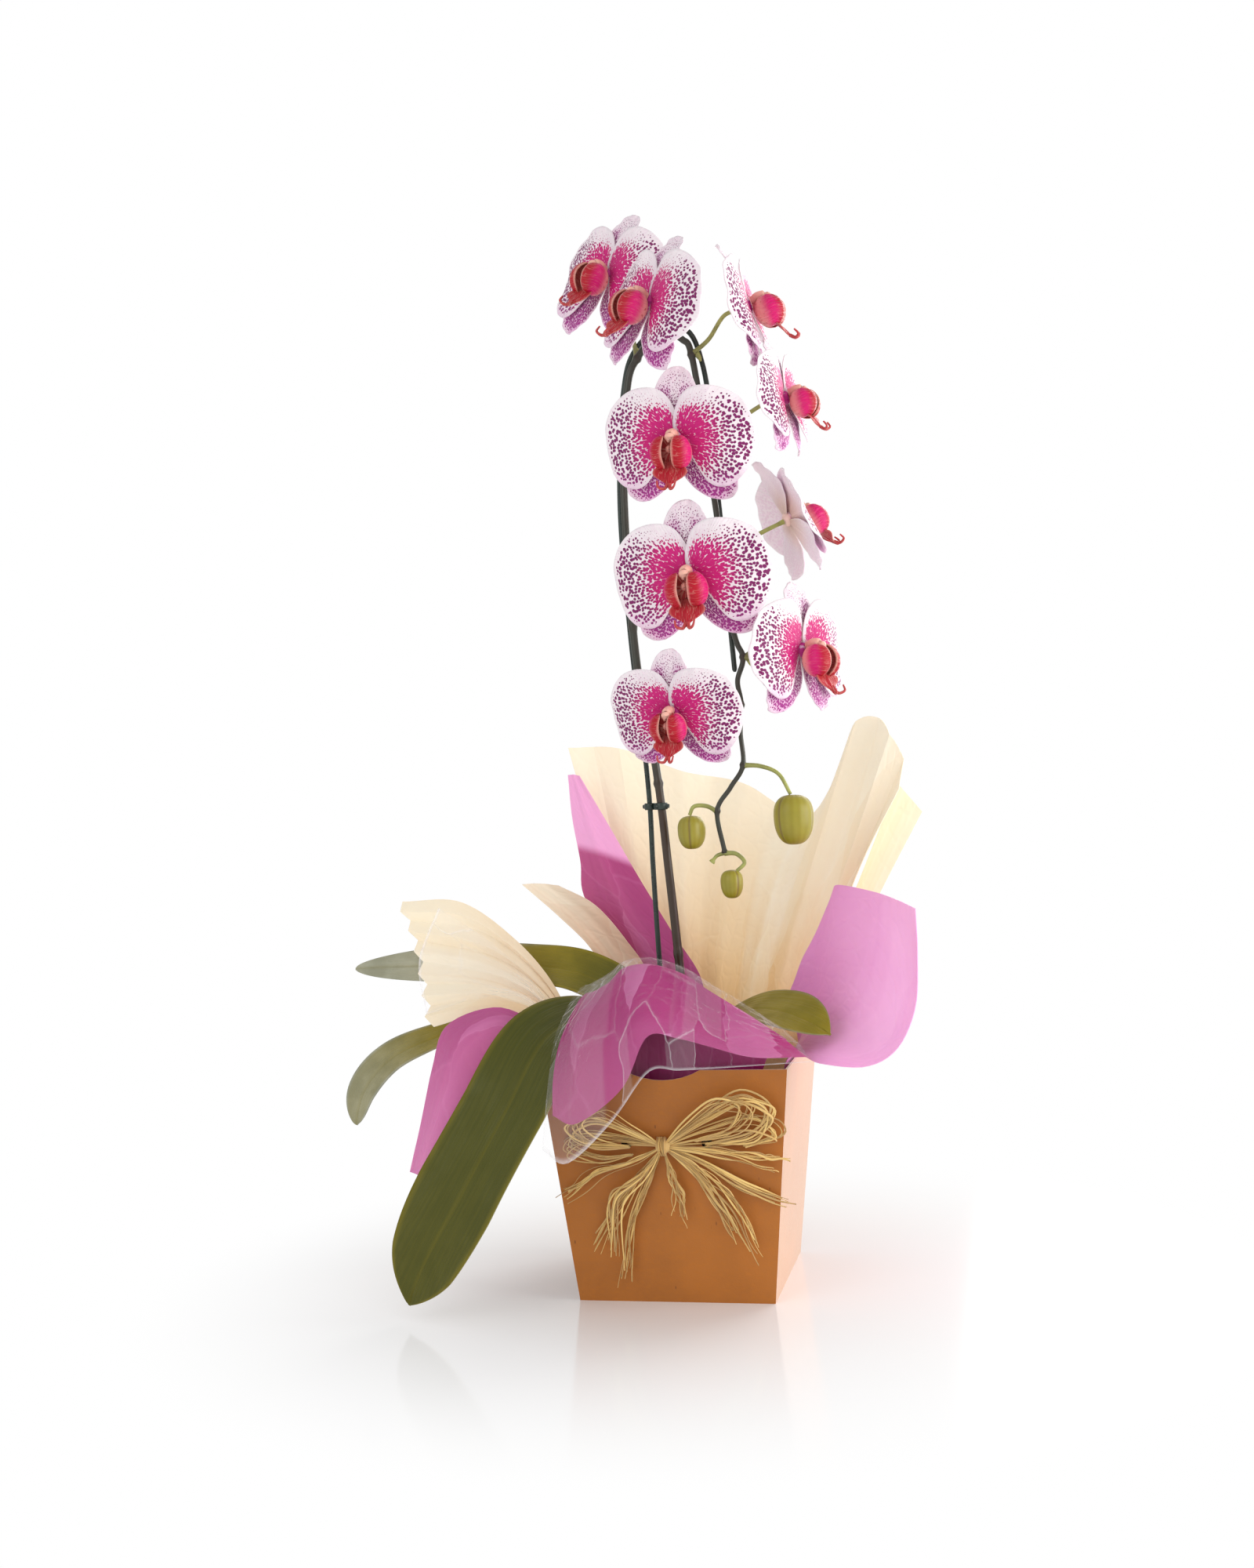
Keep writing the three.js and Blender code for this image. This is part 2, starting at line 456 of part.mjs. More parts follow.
// Paper and film. Each sheet is given by a few rails from its tucked edge to its free edge, side by side.
const SHEETS = [
  { name: "magenta_front", look: "magenta", columns: 8, rows: 9, rails: [
    [[-34, -53, 186], [-43, -54, 187], [-51, -62, 184], [-58, -85, 164], [-60, -100, 142], [-60, -105, 121]],
    [[-23.5, -65, 112], [-24, -61.6, 163], [-31, -51.2, 194], [-46, -80, 174], [-48, -97, 147], [-46, -103, 116]],
    [[-20, -65, 106], [-21, -59, 161], [-25, -47, 200], [-28, -70, 186], [-27, -88, 160], [-20, -94, 135]],
    [[-8, -66, 104], [-8, -57, 160], [-9, -46, 201], [-9, -66, 190], [-8, -84, 176], [-5, -89, 164]],
    [[10, -66, 104], [10, -58, 155], [11, -50, 195], [13, -68, 184], [14, -84, 172], [14, -90, 163]],
    [[26, -65.5, 104], [27, -62, 150], [28, -62, 187], [30, -74, 176], [32, -86, 165], [33, -91, 158]],
    [[40, -65, 104], [44, -66, 145], [51, -70, 174], [54, -79, 167], [57, -88, 158], [58, -92, 152]],
    [[52, -64, 106], [60, -67, 142], [72, -76, 160], [78, -82, 158], [84, -88, 155], [89, -92, 152]],
  ] },
  { name: "magenta_right", look: "magenta", columns: 9, rows: 8, rails: [
    [[66, -46, 104], [71, -51, 142], [83, -64, 148], [96, -86, 147], [122, -85, 145], [140, -79, 154],
      [151, -74, 177], [153, -67, 206], [152, -60, 233]],
    [[67, -30, 103], [71.5, -34, 142], [82, -46, 150], [98, -62, 153], [118, -66, 156], [134, -64, 166],
      [141, -56, 188], [143, -46, 212], [142, -38, 236]],
    [[67, -8, 103], [72, -10, 143], [80, -14, 154], [92, -20, 162], [105, -28, 172], [114, -30, 188],
      [120, -26, 206], [123, -16, 224], [124, -6, 240]],
    [[67, 14, 103], [72, 12, 144], [77, 10, 157], [82, 8, 168], [87, 8, 182], [90, 10, 197],
      [93, 14, 213], [96, 19, 228], [99, 24, 243]],
    [[66, 34, 103], [68, 36, 140], [65, 34, 158], [62, 30, 168], [68, 26, 182], [74, 24, 196],
      [82, 24, 210], [89, 26, 224], [95, 29, 238]],
  ] },
  { name: "magenta_left", look: "magenta", columns: 5, rows: 9, rails: [
    [[-67, -24, 106], [-72, -30, 143], [-84, -34, 162], [-112, -34, 176], [-147, -30, 165], [-154, -42, 140],
      [-158, -58, 108], [-162, -70, 80]],
    [[-67, -33, 106], [-72, -38, 143], [-84, -42, 159], [-108, -45, 168], [-132, -46, 156], [-141, -58, 132],
      [-148, -68, 106], [-156, -76, 80]],
    [[-66, -42, 108], [-71, -46, 144], [-82, -51, 155], [-98, -57, 154], [-112, -66, 138], [-126, -76, 116],
      [-140, -82, 96], [-150, -85, 80]],
  ] },
  { name: "magenta_back_left", look: "magenta", columns: 5, rows: 9, rails: [
    [[-30, 60, 112], [-34, 58, 150], [-50, 61, 196], [-76, 62, 236], [-80, 68, 262], [-86, 74, 292],
      [-89, 79, 321]],
    [[-18, 62, 108], [-22, 60, 150], [-26, 56, 190], [-44, 60, 224], [-60, 66, 256], [-73, 74, 288],
      [-85, 80, 321]],
    [[-2, 59.7, 106], [2, 59.5, 150], [2, 58, 181], [-17, 62, 212], [-39, 70, 247], [-60, 77, 283],
      [-81, 80, 320]],
  ] },
  { name: "cream_back", look: "cream", columns: 20, rows: 4, pleat: 7, rails: [
    [[-44, 66, 108], [-52, 72, 165], [-62, 82, 220], [-78, 92, 285], [-93, 100, 340]],
    [[-30, 66.5, 106], [-36, 74, 165], [-42, 84, 220], [-50, 96, 280], [-58, 106, 338]],
    [[-12, 67, 105], [-14, 75, 165], [-14, 86, 215], [-14, 98, 270], [-14, 111, 320]],
    [[8, 67, 105], [10, 76, 165], [14, 87, 215], [20, 99, 266], [28, 112, 310]],
    [[26, 67, 105], [32, 74, 165], [42, 86, 212], [56, 96, 255], [74, 106, 286]],
    [[40, 66, 105], [50, 70, 165], [64, 78, 215], [86, 86, 280], [110, 92, 348]],
    [[54, 62, 107], [66, 66, 160], [84, 68, 212], [108, 72, 270], [134, 76, 338]],
    [[62, 54, 110], [72, 58, 155], [90, 60, 200], [112, 62, 252], [140, 66, 302]],
  ] },
  { name: "cream_right", look: "cream", columns: 4, rows: 5, rails: [
    [[62, 67, 116], [70, 75.2, 152], [88, 82, 200], [110, 90, 250], [134, 96, 306]],
    [[65, 62, 114], [73, 68, 152], [98, 76, 190], [122, 84, 236], [150, 92, 286]],
  ] },
  { name: "cream_left", look: "cream", columns: 12, rows: 6, pleat: 5, rails: [
    [[-68.5, -12, 112], [-72.8, -15, 146], [-88, -21, 166], [-122, -22, 172], [-163, -18, 162]],
    [[-68.5, -7, 112], [-72.8, -10, 148], [-90, -13, 173], [-125, -9, 186], [-171, -4, 188]],
    [[-68.5, -3, 112], [-72.8, -6, 150], [-88, -8, 180], [-124, 0, 204], [-180, 8, 216]],
    [[-68.5, 0, 112], [-71.8, -2, 152], [-84, -4, 186], [-112, 4, 216], [-150, 12, 240], [-193, 18, 241]],
  ] },
  { name: "cream_roll", look: "cream", columns: 5, rows: 7, rails: [
    [[-52, 50, 112], [-58, 48, 150], [-58, 46, 178], [-68, 40, 204], [-86, 32, 226], [-109, 22, 250]],
    [[-46, 54, 110], [-50, 50, 150], [-46, 50, 182], [-58, 44, 208], [-76, 36, 231], [-99, 26, 250]],
    [[-40, 58, 110], [-41, 57.5, 150], [-34, 55.5, 184], [-46, 46, 210], [-64, 38, 234], [-86, 30, 248]],
  ] },
  { name: "film_front", look: "film", columns: 8, rows: 9, rails: [
    [[-33, -49, 191], [-44, -50, 192], [-53, -61, 188], [-60, -86, 168], [-62, -103, 142], [-66, -109, 102]],
    [[-22, -62, 114], [-22, -57, 166], [-30, -45.5, 200], [-46, -83, 179], [-50, -102, 150], [-51, -109, 94]],
    [[-20, -62, 108], [-21, -56, 163], [-25, -44, 204], [-28, -72, 190], [-28, -92, 162], [-26, -100, 116]],
    [[-8, -63, 106], [-8, -54, 162], [-9, -43, 205], [-9, -68, 194], [-8, -90, 176], [-4, -94, 144]],
    [[10, -63, 106], [10, -55, 157], [11, -47, 199], [13, -70, 188], [14, -90, 172], [14, -94, 145]],
    [[26, -62.5, 106], [27, -59, 152], [28, -59, 191], [30, -76, 180], [32, -91, 166], [34, -95, 146]],
    [[40, -62, 106], [44, -63, 147], [51, -67, 178], [54, -82, 172], [57, -94, 161], [60, -98, 148]],
    [[52, -61, 108], [60, -64, 145], [71, -72, 165], [79, -84, 163], [86, -94, 159], [92, -99, 150]],
  ] },
  { name: "film_left", look: "film", columns: 6, rows: 6, rails: [
    [[-68, -19, 112], [-72, -22, 147], [-88, -30, 173], [-122, -34, 182], [-160, -32, 172]],
    [[-68, -17, 112], [-73.4, -19.2, 152], [-92, -25, 182], [-126, -24, 196], [-168, -20, 204]],
    [[-68, -15, 112], [-74.4, -17.2, 158], [-94, -20, 192], [-122, -14, 216], [-158, -6, 238]],
  ] },
];

// The smooth sheet through its rails, with folds that open out from the tucked edge.
function sheetPoint({ rails, pleat = 0, columns }) {
  const curves = rails.map((rail) => new THREE.CatmullRomCurve3(vectors(rail), false, "catmullrom"));
  return (u, v) => {
    const across = new THREE.CatmullRomCurve3(curves.map((curve) => curve.getPoint(v)), false, "catmullrom");
    const point = across.getPoint(u);
    const side = across.getTangent(u);
    const outward = new THREE.Vector3(side.y, -side.x, 0).normalize();
    const zigzag = Math.round(u * columns) % 2 === 0 ? 0.5 : -0.5;
    return point.addScaledVector(outward, pleat * zigzag * v);
  };
}

// Raffia: each strand is a path over the front panel as sideways place, height and distance off the card.
const KNOT = [-1, 97, 5.5];
const STRANDS = [
  [[25, 115, 7], [50, 126, 9], [64, 118, 7], [55, 104, 5], [25, 98, 6]],
  [[28, 108, 5], [56, 115, 6], [67, 105, 5], [48, 97, 4]],
  [[18, 112, 9], [38, 125, 12], [52, 121, 10], [42, 108, 9], [20, 101, 8]],
  [[-22, 107, 7], [-42, 115, 8], [-55, 109, 7], [-48, 100, 6], [-22, 97, 6]],
  [[-28, 101, 4], [-52, 103, 5], [-60, 96, 4], [-42, 90, 4], [-20, 92, 5]],
  [[-20, 88, 6], [-45, 80, 4], [-65, 66, 3]],
  [[-12, 82, 7], [-28, 60, 5], [-42, 36, 4]],
  [[-10, 78, 4], [-22, 50, 4], [-28, 13, 4]],
  [[-13, 80, 10], [-30, 66, 9], [-34, 30, 6]],
  [[3, 84, 7], [7, 70, 6], [9, 54, 5]],
  [[14, 84, 6], [28, 62, 5], [38, 43, 4]],
  [[18, 86, 9], [38, 66, 8], [52, 34, 5]],
  [[22, 88, 5], [48, 72, 4], [70, 64, 3]],
  [[28, 95, 8], [54, 90, 6], [71, 87, 4]],
  [[-12, 98, 5], [-21.5, 98.3, 3.4], [-24.5, 98, -2.5]],
  [[12, 98, 5], [21.5, 98.3, 3.4], [24.5, 98, -2.5]],
];
const STRAND_RADIUS = 1.1;

function onPanel([x, z, off]) {
  return [x, -(BOX_FOOT + ((BOX_TOP - BOX_FOOT) * z) / BOX_HEIGHT) / 2 - off, z];
}

function raffiaBow() {
  const knot = ellipsoid(onPanel(KNOT), [5, 4.6, 4.6], 8, 6);
  const strands = STRANDS.map((strand) =>
    tube(curveThrough([KNOT, ...strand].map(onPanel)), () => STRAND_RADIUS, 3, strand.length + 3));
  return union([knot, ...strands]);
}

// A clip round the spike and the stake: two rings joined by a short bridge.
const CLIP_Z = 298;
const CLIP_HALF = 2.4;

function stemClip(spikeAt, stakeAt) {
  const ring = ([x, y], radius) => cylinder(radius, CLIP_Z - CLIP_HALF, CLIP_Z + CLIP_HALF, 10, x, y);
  const hole = ([x, y], radius) => cylinder(radius, CLIP_Z - 9, CLIP_Z + 9, 10, x, y);
  const [stepX, stepY] = [spikeAt[0] - stakeAt[0], spikeAt[1] - stakeAt[1]];
  const bridge = new THREE.BoxGeometry(Math.hypot(stepX, stepY), 2, 2 * CLIP_HALF);
  bridge.rotateZ(Math.atan2(stepY, stepX));
  bridge.translate((spikeAt[0] + stakeAt[0]) / 2, (spikeAt[1] + stakeAt[1]) / 2, CLIP_Z);
  return union([ring(spikeAt, 4.4), ring(stakeAt, 3.6), solid(bridge)])
    .subtract(hole(spikeAt, 3.6))
    .subtract(hole(stakeAt, 2.6));
}

node("kraft_box", cardBox(), "card");
node("nursery_pot", nurseryPot(), "pot");
node("bark_mix", barkMix(), "bark");

const spikeRadius = (t) => SPIKE_BASE_RADIUS + (SPIKE_TIP_RADIUS - SPIKE_BASE_RADIUS) * Math.min(1, t * 1.25);
const crownFoot = BARK_TOP - 12;
const crown = lathe(
  [[0, crownFoot], [CROWN_RADIUS, crownFoot], [CROWN_RADIUS, CROWN_TOP - 12], [6, CROWN_TOP], [0, CROWN_TOP]],
  12,
);
const spikeBody = tube(spike, spikeRadius, 6, 2 * (SPIKE_PATH.length - 1));
const budStalk = (path) => tube(curveThrough(path), () => PEDICEL_RADIUS, 4, 5);
const stalks = [...BLOOMS.map(bloomStalk), ...BUDS.map((bud) => budStalk(bud.stalk)), budStalk(NUB)];
node("orchid_stem", union([crown, spikeBody, ...stalks]), "stem");

const stakeCurve = curveThrough(STAKE_PATH);
node("support_stake", tube(stakeCurve, () => STAKE_RADIUS, 6, 2 * (STAKE_PATH.length - 1)), "stake");

node("raffia_bow", raffiaBow(), "raffia");
node("stem_clip", stemClip([-7.9, -3.3], [-15.8, 0.5]), "stake");

BLOOMS.forEach((bloom, k) => {
  const pose = bloomPose(bloom);
  node(`bloom_${k + 1}_petals`, petals.transform(pose.elements), "petal");
  node(`bloom_${k + 1}_lip`, lip.transform(pose.elements), "lip");
});

for (const { name, centre, radius, half } of BUDS)
  node(name, ellipsoid(centre, [radius, radius, half], 10, 7), "bud");

for (const leaf of LEAVES) node(leaf.name, thinSolid(leafPoint(leaf), 12, 4, LEAF_THICKNESS), "leaf");

for (const sheet of SHEETS)
  node(sheet.name, thinSolid(sheetPoint(sheet), sheet.columns, sheet.rows, PAPER_THICKNESS), sheet.look);

export default root;
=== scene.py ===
"""Looks of a moth orchid in a tapered card box, with paper, clear film and a raffia bow.

Every new surface is worked out in millimetres in the frame's own axes and turned into metres when its mesh
is made. Wherever a shape stands for a solid of the frame, it follows the same curves as that solid.
"""

import bmesh
import bpy
import numpy as np
from bpy.props import FloatProperty, FloatVectorProperty, IntProperty, PointerProperty
from mathutils import Matrix, Vector


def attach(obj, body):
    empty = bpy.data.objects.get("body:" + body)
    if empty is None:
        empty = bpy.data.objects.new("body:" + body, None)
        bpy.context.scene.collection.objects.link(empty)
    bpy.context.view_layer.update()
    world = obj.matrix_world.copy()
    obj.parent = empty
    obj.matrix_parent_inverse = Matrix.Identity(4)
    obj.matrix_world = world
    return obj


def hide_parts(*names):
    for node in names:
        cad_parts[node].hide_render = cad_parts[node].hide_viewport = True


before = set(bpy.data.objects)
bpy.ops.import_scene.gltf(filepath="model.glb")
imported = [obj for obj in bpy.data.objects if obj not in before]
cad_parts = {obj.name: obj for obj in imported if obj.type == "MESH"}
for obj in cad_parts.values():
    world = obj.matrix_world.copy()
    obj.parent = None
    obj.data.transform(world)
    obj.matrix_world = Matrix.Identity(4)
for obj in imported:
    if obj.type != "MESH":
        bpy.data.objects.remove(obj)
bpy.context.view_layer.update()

bl_info = {
    "name": "Moth orchid in a card box",
    "version": (1, 0, 0),
    "blender": (4, 5, 0),
    "location": "3D View > Sidebar > Orchid",
    "description": "Builds the blooms, leaves, box, wraps and bow of a potted moth orchid",
    "category": "Add Mesh",
}

MM = 0.001

SHADER = "Principled BSDF"

# Card box
BOX_FOOT = 120.0
BOX_TOP = 150.0
BOX_HEIGHT = 142.0
SOFT_EDGE = 0.35

# Flower spike, stake and clip
SPIKE_PATH = [
    (1.5, -1.5, 112), (0.6, -1, 150), (-0.8, 0, 192), (-5, -2, 258), (-9.5, -4, 320), (-18.6, -8, 392),
    (-21, -12, 491), (-15.3, -16, 559), (-6.4, -18, 580), (8, -18, 592), (21.5, -18, 588), (27.8, -16, 572),
    (37, -14, 486), (44.8, -14, 408), (50.4, -14, 388.6), (46.4, -14, 374), (48.1, -14, 360),
    (46.8, -14, 342), (47.4, -14, 321.5), (39, -14, 308), (29.9, -14, 293.4), (33.6, -14, 267.4),
]
STAKE_PATH = [
    (-13, 11, 70), (-13, 11, 120), (-15, 6, 194), (-16, 3, 260), (-15.8, 0.5, 298), (-17, -0.6, 327),
    (-22.6, -4, 407), (-24.8, -7.6, 492), (-19, -11, 558), (-12, -8.5, 584), (7, -10.5, 599),
    (24, -12, 594.5), (32.5, -10.5, 573), (38.5, -8, 486), (42, -8, 415), (44, -8, 380),
]
SPIKE_BASE = 3.0
SPIKE_TIP = 1.5
SPIKE_STEPS = 520
SEARCH_STEPS = 601
STALK_STEPS = 40
STAKE_STEPS = 360
STAKE_RADIUS = 1.7
CROWN = (94, 128)
BARE_NODES = [(-0.8, 0, 205), (-9.5, -4, 312), (-19.5, -9, 413), (-19, -14, 520)]
CLIP_Z = 298.0
CLIP_BAND = (0.55, 2.2)
CLIP_RINGS = [((-7.9, -3.3), 4.0), ((-15.8, 0.5), 3.1)]

# Blooms: hub, turn and tilt of the face, roll, size, and where the stalk leaves the spike. Below them their
# petals and sepals: points of the mesh, start, length, half width, narrowing at the claw, lean of the two
# lobes, rise from level, depth, bow and fineness of the spots
BLOOMS = [
    ((-28, -1, 637), -33, 14, 16, 1, (-8, -17.8, 579)),
    ((10.5, -62, 601), -43, 14, 16, 1, (6, -18, 591.5)),
    ((23, -58, 519), -9, -13, 4, 0.98, (33.4, -14.8, 520)),
    ((28, -60, 437), -6, -13, -1, 1.02, (40.9, -14, 446)),
    ((14, -60, 355), -13, -18, 2, 0.88, (48.1, -14, 359)),
    ((63.5, -20, 603.5), 90, 15, -10, 0.97, (26.2, -16.4, 578)),
    ((84.5, -20, 545.5), 82, 9, -5, 0.88, (31.8, -15.2, 533)),
    ((84, -16, 472), 114, 24, 0, 0.94, (39.3, -14, 462)),
    ((89.2, -25.5, 390), 64, 0, -2, 0.98, (50.4, -14, 388.6)),
]
HUB_BACK = -5.0
HUB_FRONT = 3.0
HUB_RADIUS = 5
PETAL = dict(points=(44, 36), start=2, length=47, half=31, claw=0.45, leans=(0.3, 0.1), rise=2, depth=0.7,
             bow=1, fine=1.0)
DORSAL = dict(points=(30, 24), start=2, length=41, half=14.5, claw=0.4, leans=(0, 0), rise=90, depth=-2.6,
              bow=0.6, fine=1.4)
LATERAL = dict(points=(32, 24), start=2, length=47, half=14, claw=0.4, leans=(0, 0), rise=-47, depth=-2.6,
               bow=0.6, fine=1.5)

# Buds: centre, radius, half height and the path of the stalk
BUDS = [
    ("bud_big", (77.3, -14, 286.5), 12.4, 15.4,
     [(47.4, -14, 321.5), (58, -14, 320.5), (69, -14, 315.5), (76.3, -14, 302.2)]),
    ("bud_middle", (13.4, -16, 281), 8.8, 10.4,
     [(29.9, -14, 293.4), (23.5, -14.5, 297), (15.5, -15.5, 297), (12.6, -16, 291.7)]),
    ("bud_small", (37.6, -16, 248), 7.2, 8.8,
     [(33.6, -14, 267.4), (41, -14, 266.5), (45.8, -15, 261), (40.85, -16, 255.9)]),
]
NUB = [(33.6, -14, 267.4), (28.5, -14, 265.8), (25, -14, 261.8)]

# Leaves: points of the mesh along and across, and along the finer line that directions are read from. Then
# for each leaf its half width, where it is widest, how pointed the tip is, the way the upper face looks at the
# crown and at the tip, how pale it is low down and at the tip (on the two left leaves the pale tip is painted
# light, for the sheen of clear film and back light over it), and the midrib
LEAF_STEPS = (110, 29)
RIB_STEPS = 801
LEAVES = [
    ("leaf_front_left", 33, 0.73, 0.85, ((-0.1, -0.45, 0.9), (-0.2, -0.9, 0.4)), (0.02, 0.1),
     [(-8.2, -11.2, 113), (-13.5, -16.5, 140), (-35, -33, 161), (-54, -48, 169.5), (-72, -66, 161),
      (-93, -91, 120), (-120, -101, 72), (-142, -106, 34), (-153, -108, 9)]),
    ("leaf_left_high", 18, 0.4, 0.55, ((0.1, -0.5, 0.85), (0, -0.95, 0.3)), (0.05, 0.95),
     [(-13, -2.5, 118), (-15.5, -4, 142), (-25, -4, 165), (-42, 3, 179), (-72, 13, 192), (-109, 23, 196),
      (-150, 32, 197), (-191, 37, 196), (-235, 40, 195)]),
    ("leaf_left_low", 16.5, 0.8, 0.6, ((0, 0, 1), (-0.5, -0.85, 0.2)), (0.1, 0.8),
     [(-15.7, -1, 112), (-24, 2, 130), (-42, 8, 146), (-70, 12, 157), (-96, 14, 163), (-135, 14, 158),
      (-171, 10, 150), (-198, 2, 138), (-214, -6, 119), (-219, -12, 98)]),
    ("leaf_right", 21.5, 0.6, 0.85, ((0.3, -0.3, 0.9), (-0.1, -0.6, 0.8)), (0.45, 0.5),
     [(7, -7, 113), (13, -13, 140), (26, -20, 160), (46, -31, 171), (66, -42, 172), (84, -54, 168),
      (100, -65, 161)]),
]

# Mesh of the sheets: thickness, points across each fold and along each rail, creases, and the angle from
# which an edge is sharp
SHEET_THICKNESS = 0.5
FOLD_STEPS = 6
RAIL_STEPS = 44
CREASES = 7
SHARP_FROM = 32

